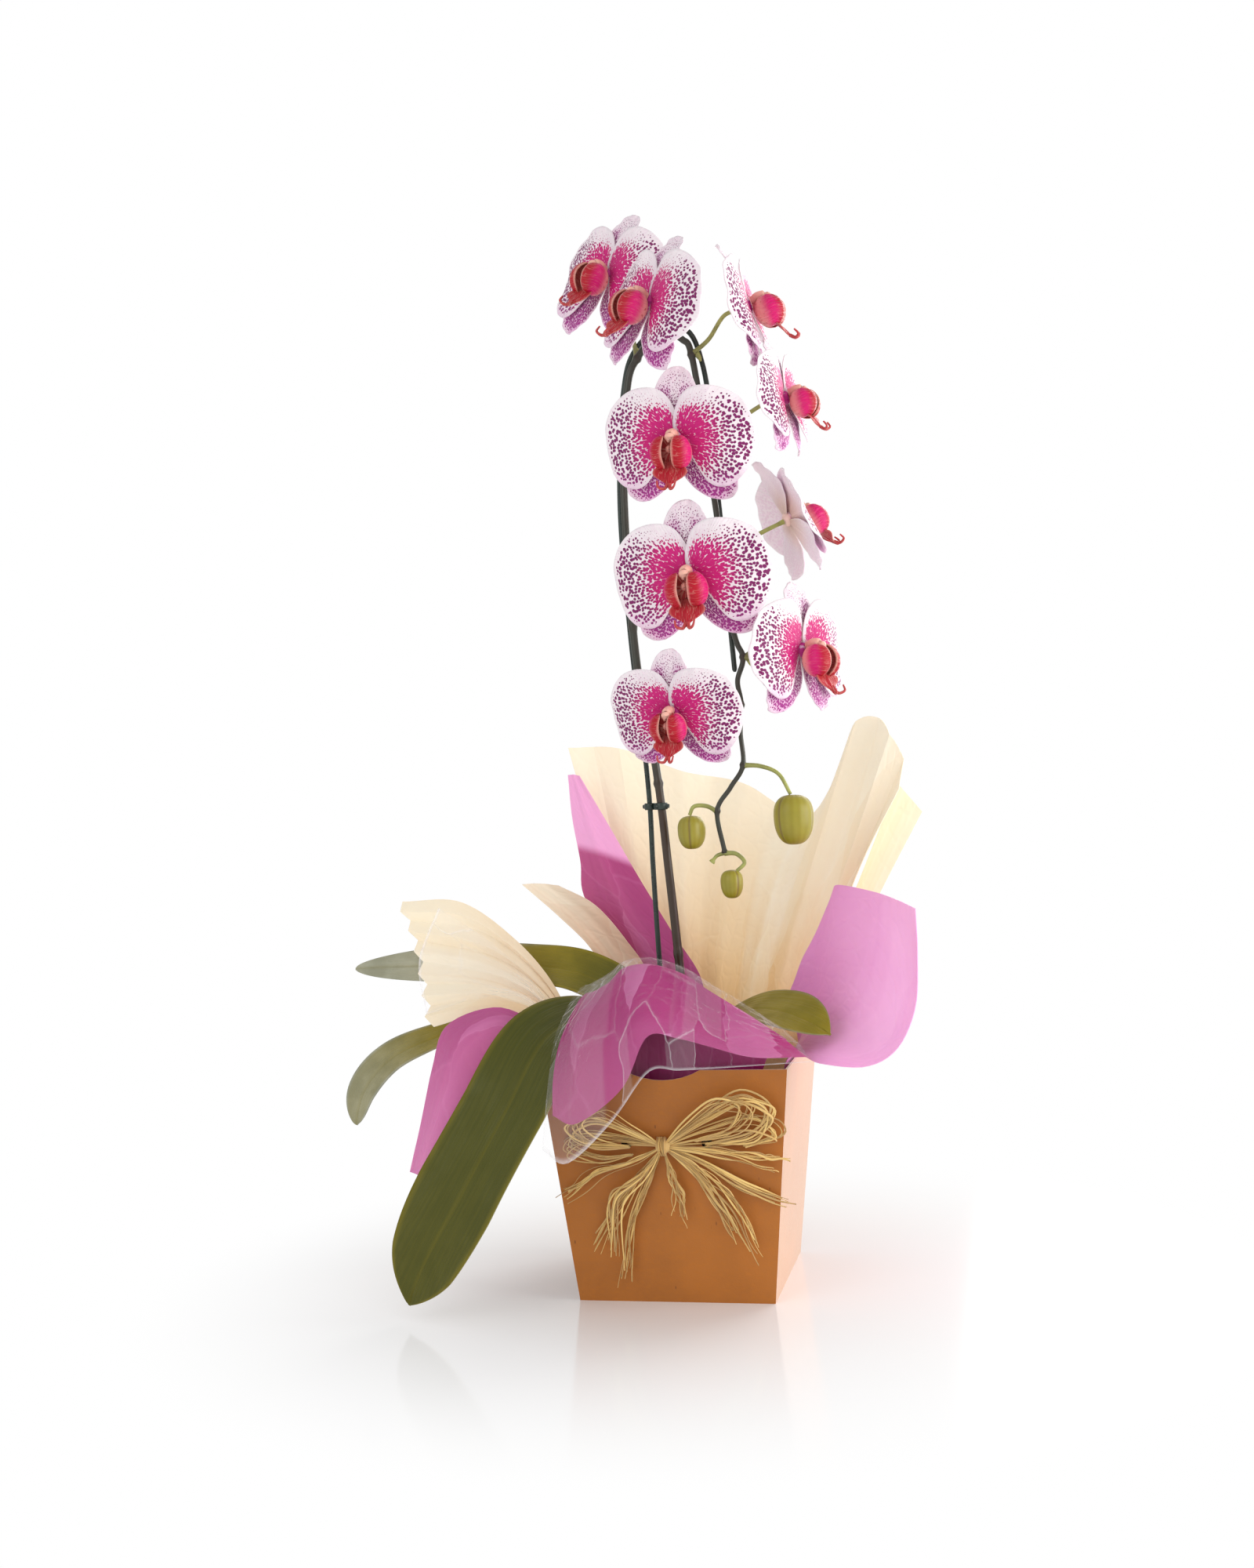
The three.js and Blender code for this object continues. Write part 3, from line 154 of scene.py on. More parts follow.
# Sheets: kind, number of folds across, depth of the folds, and the rails from tucked edge to free edge
SHEETS = [
    ("magenta_front", "magenta", 8, 0, [
        [(-34, -53, 186), (-43, -54, 187), (-51, -62, 184), (-58, -85, 164), (-60, -100, 142),
         (-60, -105, 121)],
        [(-23.5, -65, 112), (-24, -61.6, 163), (-31, -51.2, 194), (-46, -80, 174), (-48, -97, 147),
         (-46, -103, 116)],
        [(-20, -65, 106), (-21, -59, 161), (-25, -47, 200), (-28, -70, 186), (-27, -88, 160),
         (-20, -94, 135)],
        [(-8, -66, 104), (-8, -57, 160), (-9, -46, 201), (-9, -66, 190), (-8, -84, 176), (-5, -89, 164)],
        [(10, -66, 104), (10, -58, 155), (11, -50, 195), (13, -68, 184), (14, -84, 172), (14, -90, 163)],
        [(26, -65.5, 104), (27, -62, 150), (28, -62, 187), (30, -74, 176), (32, -86, 165), (33, -91, 158)],
        [(40, -65, 104), (44, -66, 145), (51, -70, 174), (54, -79, 167), (57, -88, 158), (58, -92, 152)],
        [(52, -64, 106), (60, -67, 142), (72, -76, 160), (78, -82, 158), (84, -88, 155), (89, -92, 152)],
    ]),
    ("magenta_right", "magenta", 9, 0, [
        [(66, -46, 104), (71, -51, 142), (83, -64, 148), (96, -86, 147), (122, -85, 145), (140, -79, 154),
          (151, -74, 177), (153, -67, 206), (152, -60, 233)],
        [(67, -30, 103), (71.5, -34, 142), (82, -46, 150), (98, -62, 153), (118, -66, 156), (134, -64, 166),
          (141, -56, 188), (143, -46, 212), (142, -38, 236)],
        [(67, -8, 103), (72, -10, 143), (80, -14, 154), (92, -20, 162), (105, -28, 172), (114, -30, 188),
          (120, -26, 206), (123, -16, 224), (124, -6, 240)],
        [(67, 14, 103), (72, 12, 144), (77, 10, 157), (82, 8, 168), (87, 8, 182), (90, 10, 197),
          (93, 14, 213), (96, 19, 228), (99, 24, 243)],
        [(66, 34, 103), (68, 36, 140), (65, 34, 158), (62, 30, 168), (68, 26, 182), (74, 24, 196),
          (82, 24, 210), (89, 26, 224), (95, 29, 238)],
    ]),
    ("magenta_left", "magenta", 5, 0, [
        [(-67, -24, 106), (-72, -30, 143), (-84, -34, 162), (-112, -34, 176), (-147, -30, 165),
         (-154, -42, 140),
          (-158, -58, 108), (-162, -70, 80)],
        [(-67, -33, 106), (-72, -38, 143), (-84, -42, 159), (-108, -45, 168), (-132, -46, 156),
         (-141, -58, 132),
          (-148, -68, 106), (-156, -76, 80)],
        [(-66, -42, 108), (-71, -46, 144), (-82, -51, 155), (-98, -57, 154), (-112, -66, 138),
         (-126, -76, 116),
          (-140, -82, 96), (-150, -85, 80)],
    ]),
    ("magenta_back_left", "magenta", 5, 0, [
        [(-30, 60, 112), (-34, 58, 150), (-50, 61, 196), (-76, 62, 236), (-80, 68, 262), (-86, 74, 292),
          (-89, 79, 321)],
        [(-18, 62, 108), (-22, 60, 150), (-26, 56, 190), (-44, 60, 224), (-60, 66, 256), (-73, 74, 288),
          (-85, 80, 321)],
        [(-2, 59.7, 106), (2, 59.5, 150), (2, 58, 181), (-17, 62, 212), (-39, 70, 247), (-60, 77, 283),
          (-81, 80, 320)],
    ]),
    ("cream_back", "cream", 14, 6, [
        [(-44, 66, 108), (-52, 72, 165), (-62, 82, 220), (-78, 92, 285), (-93, 100, 340)],
        [(-30, 66.5, 106), (-36, 74, 165), (-42, 84, 220), (-50, 96, 280), (-58, 106, 338)],
        [(-12, 67, 105), (-14, 75, 165), (-14, 86, 215), (-14, 98, 270), (-14, 111, 320)],
        [(8, 67, 105), (10, 76, 165), (14, 87, 215), (20, 99, 266), (28, 112, 310)],
        [(26, 67, 105), (32, 74, 165), (42, 86, 212), (56, 96, 255), (74, 106, 286)],
        [(40, 66, 105), (50, 70, 165), (64, 78, 215), (86, 86, 280), (110, 92, 348)],
        [(54, 62, 107), (66, 66, 160), (84, 68, 212), (108, 72, 270), (134, 76, 338)],
        [(62, 54, 110), (72, 58, 155), (90, 60, 200), (112, 62, 252), (140, 66, 302)],
    ]),
    ("cream_right", "cream", 4, 0, [
        [(62, 67, 116), (70, 75.2, 152), (88, 82, 200), (110, 90, 250), (134, 96, 306)],
        [(65, 62, 114), (73, 68, 152), (98, 76, 190), (122, 84, 236), (150, 92, 286)],
    ]),
    ("cream_left", "cream", 12, 5, [
        [(-68.5, -12, 112), (-72.8, -15, 146), (-88, -21, 166), (-122, -22, 172), (-163, -18, 162)],
        [(-68.5, -7, 112), (-72.8, -10, 148), (-90, -13, 173), (-125, -9, 186), (-171, -4, 188)],
        [(-68.5, -3, 112), (-72.8, -6, 150), (-88, -8, 180), (-124, 0, 204), (-180, 8, 216)],
        [(-68.5, 0, 112), (-71.8, -2, 152), (-84, -4, 186), (-112, 4, 216), (-150, 12, 240), (-193, 18, 241)],
    ]),
    ("cream_roll", "cream", 5, 0, [
        [(-52, 50, 112), (-58, 48, 150), (-58, 46, 178), (-68, 40, 204), (-86, 32, 226), (-109, 22, 250)],
        [(-46, 54, 110), (-50, 50, 150), (-46, 50, 182), (-58, 44, 208), (-76, 36, 231), (-99, 26, 250)],
        [(-40, 58, 110), (-41, 57.5, 150), (-34, 55.5, 184), (-46, 46, 210), (-64, 38, 234), (-86, 30, 248)],
    ]),
    ("film_front", "film", 8, 0, [
        [(-33, -49, 191), (-44, -50, 192), (-53, -61, 188), (-60, -86, 168), (-62, -103, 142),
         (-66, -109, 102)],
        [(-22, -62, 114), (-22, -57, 166), (-30, -45.5, 200), (-46, -83, 179), (-50, -102, 150),
         (-51, -109, 94)],
        [(-20, -62, 108), (-21, -56, 163), (-25, -44, 204), (-28, -72, 190), (-28, -92, 162),
         (-26, -100, 116)],
        [(-8, -63, 106), (-8, -54, 162), (-9, -43, 205), (-9, -68, 194), (-8, -90, 176), (-4, -94, 144)],
        [(10, -63, 106), (10, -55, 157), (11, -47, 199), (13, -70, 188), (14, -90, 172), (14, -94, 145)],
        [(26, -62.5, 106), (27, -59, 152), (28, -59, 191), (30, -76, 180), (32, -91, 166), (34, -95, 146)],
        [(40, -62, 106), (44, -63, 147), (51, -67, 178), (54, -82, 172), (57, -94, 161), (60, -98, 148)],
        [(52, -61, 108), (60, -64, 145), (71, -72, 165), (79, -84, 163), (86, -94, 159), (92, -99, 150)],
    ]),
    ("film_left", "film", 6, 0, [
        [(-68, -19, 112), (-72, -22, 147), (-88, -30, 173), (-122, -34, 182), (-160, -32, 172)],
        [(-68, -17, 112), (-73.4, -19.2, 152), (-92, -25, 182), (-126, -24, 196), (-168, -20, 204)],
        [(-68, -15, 112), (-74.4, -17.2, 158), (-94, -20, 192), (-122, -14, 216), (-158, -6, 238)],
    ]),
]

# How a sheet takes the light, painted on: how far it is lightened by painted light, how strongly its facets
# get painted light and shade, where across it turns from the light and gets painted shade (from, to, how
# much), and where up it catches the light and gets painted light (from, to, how much)
LIT = {
    "magenta_front": (0.0, 0.5, (0.45, 0.1, 0.5), (0.6, 1.0, 0.12)),
    "magenta_right": (1.0, 0.12, (0.3, 0.85, 0.8), (0.3, 0.9, 0.2)),
    "magenta_left": (0.25, 0.35, (0.5, 1.0, 0.5), (0.5, 1.0, 0.3)),
    "magenta_back_left": (0.16, 0.3, (0.3, 0.85, 0.5), (0.7, 0.745, 0.9)),
    "cream_back": (0.0, 0.4, (0.02, 0.0, 0.0), (0.35, 1.0, 0.75)),
    "cream_right": (0.0, 0.3, (0.02, 0.0, 0.0), (0.2, 0.8, 0.6)),
    "cream_left": (0.0, 0.3, (0.5, 0.0, 0.35), (0.45, 1.0, 0.6)),
    "cream_roll": (0.0, 0.3, (0.2, 1.0, 0.5), (0.5, 1.0, 0.5)),
}

# Raffia strands over the front panel: sideways place, height and distance off the card. The first are loops,
# the last are ties, the others have loose ends
LOOPS = 5
TIES = 2
RIBBONS_OF_TIE = 2
RIBBON_STEPS = 34
RIBBON_THICKNESS = 0.2
KNOT_RINGS = 6
KNOT = (-1, 97, 5.5)
STRANDS = [
    [(25, 115, 7), (50, 126, 9), (64, 118, 7), (55, 104, 5), (25, 98, 6)],
    [(28, 108, 5), (56, 115, 6), (67, 105, 5), (48, 97, 4)],
    [(18, 112, 9), (38, 125, 12), (52, 121, 10), (42, 108, 9), (20, 101, 8)],
    [(-22, 107, 7), (-42, 115, 8), (-55, 109, 7), (-48, 100, 6), (-22, 97, 6)],
    [(-28, 101, 4), (-52, 103, 5), (-60, 96, 4), (-42, 90, 4), (-20, 92, 5)],
    [(-20, 88, 6), (-45, 80, 4), (-65, 66, 3)],
    [(-12, 82, 7), (-28, 60, 5), (-42, 36, 4)],
    [(-10, 78, 4), (-22, 50, 4), (-28, 13, 4)],
    [(-13, 80, 10), (-30, 66, 9), (-34, 30, 6)],
    [(3, 84, 7), (7, 70, 6), (9, 54, 5)],
    [(14, 84, 6), (28, 62, 5), (38, 43, 4)],
    [(18, 86, 9), (38, 66, 8), (52, 34, 5)],
    [(22, 88, 5), (48, 72, 4), (70, 64, 3)],
    [(28, 95, 8), (54, 90, 6), (71, 87, 4)],
    [(-12, 98, 5), (-21.5, 98.3, 3.4), (-24.5, 98, -2.5)],
    [(12, 98, 5), (21.5, 98.3, 3.4), (24.5, 98, -2.5)],
]

# Stage, in metres and degrees: the camera's distance, height and turn round the plant, how far it looks aside
# of it, its roll, focal length and film size in millimetres, the point that the lights look at, the floor and
# where it fades to white. Lights: name, place, size, share of the key power, tint
EYE_DISTANCE = 1.15
EYE_HEIGHT = 0.313
EYE_TURN = 11.1
LOOK_ASIDE = 1.46
ROLL = -2.53
FOCAL = 41.598
FILM_SIZE = 36
LOOK_AT = (0, 0, 0.33)
FLOOR_HALF = 6
FLOOR_FADE = (0.09, 0.36)
LIGHTS = [
    ("key", (1.45, -0.25, 0.5), 1.0, 0.74, (1.0, 0.98, 0.95)),
    ("back", (0.75, 1.5, 0.75), 1.5, 1.2, (1.0, 0.98, 0.96)),
    ("fill", (-0.9, -1.6, 1.0), 1.2, 0.34, (0.97, 0.98, 1.0)),
]


# Surfaces as whole arrays


class Surface:
    """Points in millimetres with quads and triangles, a place along and across each form, and four masks."""

    def __init__(self, points, quads, triangles=None, rows=None, masks=None):
        count = len(points)
        self.points = points
        self.quads = quads
        self.triangles = np.zeros((0, 3), int) if triangles is None else triangles
        self.rows = np.zeros((count, 2)) if rows is None else rows
        self.masks = np.zeros((count, 4)) if masks is None else masks


def joined(surfaces):
    """All the surfaces as one, each keeping its own points."""
    starts = np.cumsum([0] + [len(one.points) for one in surfaces])
    return Surface(
        np.vstack([one.points for one in surfaces]),
        np.vstack([one.quads + start for one, start in zip(surfaces, starts)]),
        np.vstack([one.triangles + start for one, start in zip(surfaces, starts)]),
        np.vstack([one.rows for one in surfaces]),
        np.vstack([one.masks for one in surfaces]),
    )


def unit(vectors):
    """Each vector divided by its own length."""
    return vectors / np.maximum(np.linalg.norm(vectors, axis=-1, keepdims=True), 1e-9)


def strides(points, axis=0):
    """The length of each step along an axis of an array of points."""
    return np.linalg.norm(np.diff(points, axis=axis), axis=-1)


def ramp(value, low, high):
    """Rises smoothly from 0 at low to 1 at high: s squared times three less two s."""
    share = np.clip((value - low) / (high - low), 0, 1)
    return share * share * (3 - 2 * share)


def blend(low, high, share):
    """The share of the way from low to high."""
    return low + (high - low) * share


def bell(value, width):
    """One at nought, falling off to both sides as a bell curve of this width."""
    return np.exp(-((value / width) ** 2))


def steps(count):
    """Evenly spaced numbers from 0 to 1."""
    return np.linspace(0, 1, count)


def circle(count):
    """Evenly spaced turns once round, in radians, without the last that would meet the first."""
    return np.linspace(0, 2 * np.pi, count, endpoint=False)


def grid(first, second):
    """Two rows of numbers spread over a grid, the first down its columns and the second along its rows."""
    return np.meshgrid(first, second, indexing="ij")


def stacked(*parts):
    """Numbers and arrays stretched to one shape and laid side by side along a new last axis."""
    return np.stack(np.broadcast_arrays(*parts), axis=-1)


def masks_of(like, one=0, two=0, three=0, four=0):
    """Four masks with the shape of an array, each given as a number or an array."""
    return stacked(like, one, two, three, four)[..., 1:]


def spline(points, share, even=False):
    """Catmull-Rom curve through the points, each end stretched on by its last step.

    The cubic between two points takes its slopes from their neighbours. With even, the slopes are half the
    step between the neighbours; otherwise they are weighted by the square roots of the steps.
    """
    given = np.asarray(points, float)
    chain = np.concatenate([2 * given[:1] - given[1:2], given, 2 * given[-1:] - given[-2:-1]])
    place = np.clip(share, 0, 1) * (len(given) - 1)
    first = np.minimum(place.astype(int), len(given) - 2)
    along = (place - first).reshape(place.shape + (1,) * (given.ndim - 1))
    before, start, end, after = (chain[first + step] for step in range(4))
    if even:
        leave = (end - before) / 2
        arrive = (after - start) / 2
    else:
        back, here, on = (np.sqrt(np.linalg.norm(pair, axis=-1, keepdims=True)) for pair in
                          (start - before, end - start, after - end))
        leave = (start - before) / back - (end - before) / (back + here) + (end - start) / here
        arrive = (end - start) / here - (after - start) / (here + on) + (after - end) / on
        leave = leave * here
        arrive = arrive * here
    bend = -3 * start + 3 * end - 2 * leave - arrive
    twist = 2 * start - 2 * end + leave + arrive
    return start + leave * along + bend * along**2 + twist * along**3


def grid_quads(columns, rows, round_columns=False, round_rows=False):
    """Quads of a grid of columns by rows points, closed on itself where it is round."""
    i, j = grid(np.arange(columns - (not round_columns)), np.arange(rows - (not round_rows)))
    i, j = i.ravel(), j.ravel()
    next_i, next_j = (i + 1) % columns, (j + 1) % rows
    return stacked(i * rows + j, next_i * rows + j, next_i * rows + next_j, i * rows + next_j)


def outward(surface):
    """The same closed form with its faces turned to the outside, told by the sign of its volume."""
    volume = 0
    for faces, second, third in ((surface.quads, 1, 2), (surface.quads, 2, 3), (surface.triangles, 1, 2)):
        corners = surface.points[faces]
        volume += np.einsum("ij,ij->", corners[:, 0], np.cross(corners[:, second], corners[:, third]))
    if volume < 0:
        surface.quads = surface.quads[:, ::-1]
        surface.triangles = surface.triangles[:, ::-1]
    return surface


def blade(middle, thickness, rows, front, back):
    """A thin closed form: each point of the middle surface is moved half the thickness along the normal and
    half against it, and a narrow rim joins the two faces. The masks of the two faces are front and back."""
    shape = middle.shape[:2]
    normal = unit(np.cross(np.gradient(middle, axis=0), np.gradient(middle, axis=1)))
    half = np.broadcast_to(thickness, shape)[..., None] / 2
    faces = grid_quads(*shape)
    below = shape[0] * shape[1]
    index = np.arange(below).reshape(shape)
    rim = np.concatenate([index[:-1, 0], index[-1, :-1], index[:0:-1, -1], index[0, :0:-1]])
    after = np.roll(rim, -1)
    return Surface(
        np.vstack([(middle + normal * half).reshape(-1, 3), (middle - normal * half).reshape(-1, 3)]),
        np.vstack([faces, faces[:, ::-1] + below, stacked(rim, rim + below, after + below, after)]),
        rows=np.vstack([rows.reshape(-1, 2)] * 2),
        masks=np.vstack([masks_of(middle[..., 0], *face).reshape(-1, 4) for face in (front, back)]),
    )


def tube(path, wide, sides, thin=None, twist=0.0, masks=()):
    """A closed tube of elliptical section along a path. The section's first axis starts square to the
    direction that the path moves in least, and turns by twist; wide and thin are its two radii. Radii, twist
    and masks are numbers or arrays along the path."""
    count = len(path)
    along = unit(np.gradient(path, axis=0))
    least = np.linalg.svd(along, full_matrices=False)[2][-1]
    across = unit(np.cross(along, least))
    other = np.cross(along, across)
    wide, thin, spin = (np.broadcast_to(part, count)[:, None, None] for part in
                        (wide, wide if thin is None else thin, twist))
    turn = circle(sides)[None, :, None]
    first = across[:, None] * np.cos(spin) + other[:, None] * np.sin(spin)
    second = other[:, None] * np.cos(spin) - across[:, None] * np.sin(spin)
    ring = path[:, None] + first * np.cos(turn) * wide + second * np.sin(turn) * thin
    k = np.arange(sides)
    after = (k + 1) % sides
    start, last = count * sides, (count - 1) * sides
    caps = np.vstack([stacked(start, k, after), stacked(start + 1, last + after, last + k)])
    length = np.append(0, np.cumsum(strides(path)))
    rows = stacked(np.tile(k / sides, count), np.repeat(length, sides))
    spread = masks_of(length, *masks)
    return outward(Surface(
        np.vstack([ring.reshape(-1, 3), path[:1], path[-1:]]),
        grid_quads(count, sides, round_rows=True)[:, ::-1],
        caps,
        np.vstack([rows, [0, 0], [0, length[-1]]]),
        np.vstack([np.repeat(spread, sides, axis=0), spread[:1], spread[-1:]]),
    ))


def globe(point, columns, rows, masks):
    """A closed round form with one point at each pole. Point and masks both take the turn round the axis and
    the fall from the top pole, as arrays."""
    turn, fall = grid(circle(columns), np.linspace(0, np.pi, rows + 2)[1:-1])
    turn, fall = np.append(turn, [0, 0]), np.append(fall, [0, np.pi])
    k = np.arange(columns)
    after = (k + 1) % columns
    top, low = columns * rows, rows - 1
    caps = np.vstack([stacked(after * rows, k * rows, top),
                      stacked(k * rows + low, after * rows + low, top + 1)])
    return outward(Surface(point(turn, fall), grid_quads(columns, rows, round_columns=True), caps,
                           stacked(turn, fall), masks_of(turn, *masks(turn, fall))))


def around(centre, reach, turn, height):
    """Points at a reach and a turn round a centre, at a height over it."""
    return stacked(centre[0] + reach * np.cos(turn), centre[1] + reach * np.sin(turn), centre[2] + height)


def ball(centre, radii, *masks):
    """A globe with a radius of its own along each axis and the same masks all over."""

    def point(turn, fall):
        return stacked(
            centre[0] + radii[0] * np.sin(fall) * np.cos(turn),
            centre[1] + radii[1] * np.sin(fall) * np.sin(turn),
            centre[2] + radii[2] * np.cos(fall),
        )

    return globe(point, columns=20, rows=12, masks=lambda turn, fall: masks)


def torus(centre, ring, thick, height):
    """A closed band round a vertical axis: the section is an ellipse, thick across and height up."""
    columns, rows = 36, 14
    turn, lift = grid(circle(columns), circle(rows))
    points = around(centre, ring + thick * np.cos(lift), turn, height * np.sin(lift))
    return outward(Surface(points.reshape(-1, 3), grid_quads(columns, rows, True, True)))


def moved(surface, matrix):
    """The surface with its points turned and shifted by a 4 by 4 array."""
    points = surface.points @ matrix[:3, :3].T + matrix[:3, 3]
    return Surface(points, surface.quads, surface.triangles, surface.rows, surface.masks)


def placed(name, data):
    """A new object in the scene."""
    made = bpy.data.objects.new(name, data)
    bpy.context.scene.collection.objects.link(made)
    return made


def tied(piece, node):
    """Ties a piece to the frame: it rides on the one body and stands for its node."""
    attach(piece, "root")
    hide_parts(node)


def make_piece(name, surface, material, node, crease=None):
    """Puts a surface into a mesh in metres, gives it its material and ties it to the frame."""
    mesh = bpy.data.meshes.new(name)
    quads, triangles = surface.quads, surface.triangles
    mesh.vertices.add(len(surface.points))
    mesh.vertices.foreach_set("co", (surface.points * MM).astype(np.float32).ravel())
    loops = np.concatenate([quads.ravel(), triangles.ravel()]).astype(np.int32)
    mesh.loops.add(len(loops))
    mesh.loops.foreach_set("vertex_index", loops)
    starts = np.append(np.arange(len(quads)) * 4, quads.size + np.arange(len(triangles)) * 3)
    mesh.polygons.add(len(starts))
    mesh.polygons.foreach_set("loop_start", starts.astype(np.int32))
    mesh.update(calc_edges=True)
    mesh.validate()
    mesh.polygons.foreach_set("use_smooth", np.full(len(mesh.polygons), True))
    layer = mesh.uv_layers.new(name="rows")
    layer.uv.foreach_set("vector", surface.rows[loops].astype(np.float32).ravel())
    masks = mesh.attributes.new("masks", "FLOAT_COLOR", "POINT")
    masks.data.foreach_set("color", surface.masks.astype(np.float32).ravel())
    if crease is not None:
        mesh.set_sharp_from_angle(angle=np.radians(crease))
    mesh.materials.append(material)
    tied(placed(name, mesh), node)


# Shapes of the orchid


def disc(columns, rows):
    """The unit square mapped smoothly on to the unit disc: each side is shortened by the other's square."""
    s, t = grid(np.linspace(-1, 1, columns), np.linspace(-1, 1, rows))
    return s * np.sqrt(1 - t * t / 2), t * np.sqrt(1 - s * s / 2)


def flower_leaf(shape, side):
    """One petal or sepal in its bloom's frame, +Y up the dorsal sepal and +Z out of the face.

    A disc is stretched to the leaf's length and half width, narrowed at its claw by an exponential, its lobes
    lean back over the hub, and it arches out and back along its length with a ripple that grows to the rim.
    """
    a, b = disc(*shape["points"])
    share = (a + 1) / 2
    lean = np.where(b > 0, *shape["leans"])
    along = shape["start"] + shape["length"] * (share - lean * b * (1 - share))
    across = b * shape["half"] * (1 - shape["claw"] * bell(share, 0.2))
    radius = np.sqrt(a * a + b * b)
    angle = np.arctan2(b, a)
    ripple = 1.4 * np.sin(5 * angle) * radius**2 * share
    flutter = 0.45 * np.sin(13 * angle + side) * ramp(radius, 0.7, 1) * share
    groove = -0.5 * bell(b, 0.07) * (1 - share)
    curl = shape["bow"] * (3.5 * np.sin(np.pi * share) - 6 * share**3 + ripple) + flutter + groove
    turn = np.radians(shape["rise"])
    x = along * np.cos(turn) - across * np.sin(turn)
    y = along * np.sin(turn) + across * np.cos(turn)
    depth = shape["depth"] * (side if shape is PETAL else 1)
    middle = stacked(side * x, y, depth + curl)
    if side < 0:
        middle, radius, b, share = middle[:, ::-1], radius[:, ::-1], b[:, ::-1], share[:, ::-1]
    rim = 1 - radius
    reach = np.hypot(middle[..., 0], middle[..., 1])
    theta = np.arctan2(middle[..., 1], side * middle[..., 0])
    heart = ramp(reach, 18, 8)
    if shape is PETAL:
        cover = blend(0.6, 1.0, ramp(reach, 31, 14)) * (1 - 0.15 * ramp(b, 0.3, 0.7))
        cover = cover * ramp(rim, 0.02, 0.14) * (1 - 0.68 * ramp(b, 0.55, 0.8) * ramp(share, 0.8, 0.5))
        wash = 0.3 * ramp(b, -0.6, -0.9) * ramp(share, 0.2, 0.5) + 0.1 * ramp(reach, 34, 14)
        heart = ramp(reach, 37, 18)
    elif shape is DORSAL:
        patch = ramp(reach, 16, 22) * ramp(reach, 36, 28) * ramp(np.abs(b), 0.1, 0.4)
        cover = (blend(0.66, 0.28, ramp(reach, 14, 30)) + 0.3 * patch) * ramp(rim, 0.0, 0.2)
        wash = 0.08 + 0.35 * patch
    else:
        cover = 0.72 * ramp(rim, -0.02, 0.12) * (1 - 0.5 * ramp(share, 0.8, 1))
        wash = 0.3 + 0.35 * ramp(share, 0.3, 0.7) - 0.4 * ramp(share, 0.85, 1)
    fine = shape["fine"]
    rows = stacked(theta * 18 * fine + 40 * side, reach / 2.3 * fine)
    back = (cover, wash, 0, ramp(reach, 30, 4))
    return blade(middle, blend(0.55, 1.0, ramp(rim, 0.0, 0.3)), rows, (cover, wash, 1, heart), back)


def bloom_flower():
    """Two petals, three sepals and the hub that carries them, in the bloom's own frame."""

    def hub_point(turn, fall):
        height = (HUB_FRONT + HUB_BACK) / 2 + (HUB_FRONT - HUB_BACK) / 2 * np.cos(fall)
        return around((0, 0, 0), HUB_RADIUS * np.sin(fall) ** 0.5, turn, height)

    leaves = [flower_leaf(shape, side) for shape, side in
              ((PETAL, 1), (PETAL, -1), (DORSAL, 1), (LATERAL, 1), (LATERAL, -1))]
    hub = globe(hub_point, columns=24, rows=12,
                masks=lambda turn, fall: (0.95, 0.6, ramp(fall, 1.9, 1.2), 1))
    return joined(leaves + [hub])


def cupped_lobe(side):
    """One side lobe of the lip: the outer half of an ellipsoid as a thin shell, its front rim curling in."""
    sweep, rise = grid(steps(30), np.linspace(-1.4, 1.4, 26))
    turn = -1.5 + (3.35 + 0.55 * (rise / 1.4) ** 2) * sweep
    squeeze = 1 - 0.1 * ramp(turn, 1.2, 2.15) + 0.1 * ramp(sweep, 0.86, 1)
    x = side * (5.2 + 7.4 * np.cos(rise) * np.cos(turn) * squeeze)
    y = -7.5 + 10 * np.sin(rise) + 0.5 * np.sin(4 * turn) * np.cos(rise)
    z = 13 + 9 * np.cos(rise) * np.sin(turn) * squeeze
    edge = ramp(sweep, 0.93, 1)
    red = ramp(turn, 0.35, 1.15)
    outer, inner = (0.3 + 0.3 * red, ramp(z, 14, 6), red, edge), (0.9, 0.25, 1, edge)
    faces = (outer, inner) if side < 0 else (inner, outer)
    thickness = blend(0.5, 1.0, ramp(1.4 - np.abs(rise), 0, 0.4))
    return outward(blade(stacked(x, y, z), thickness, stacked(rise * 9 + side * 20, turn * 6), *faces))


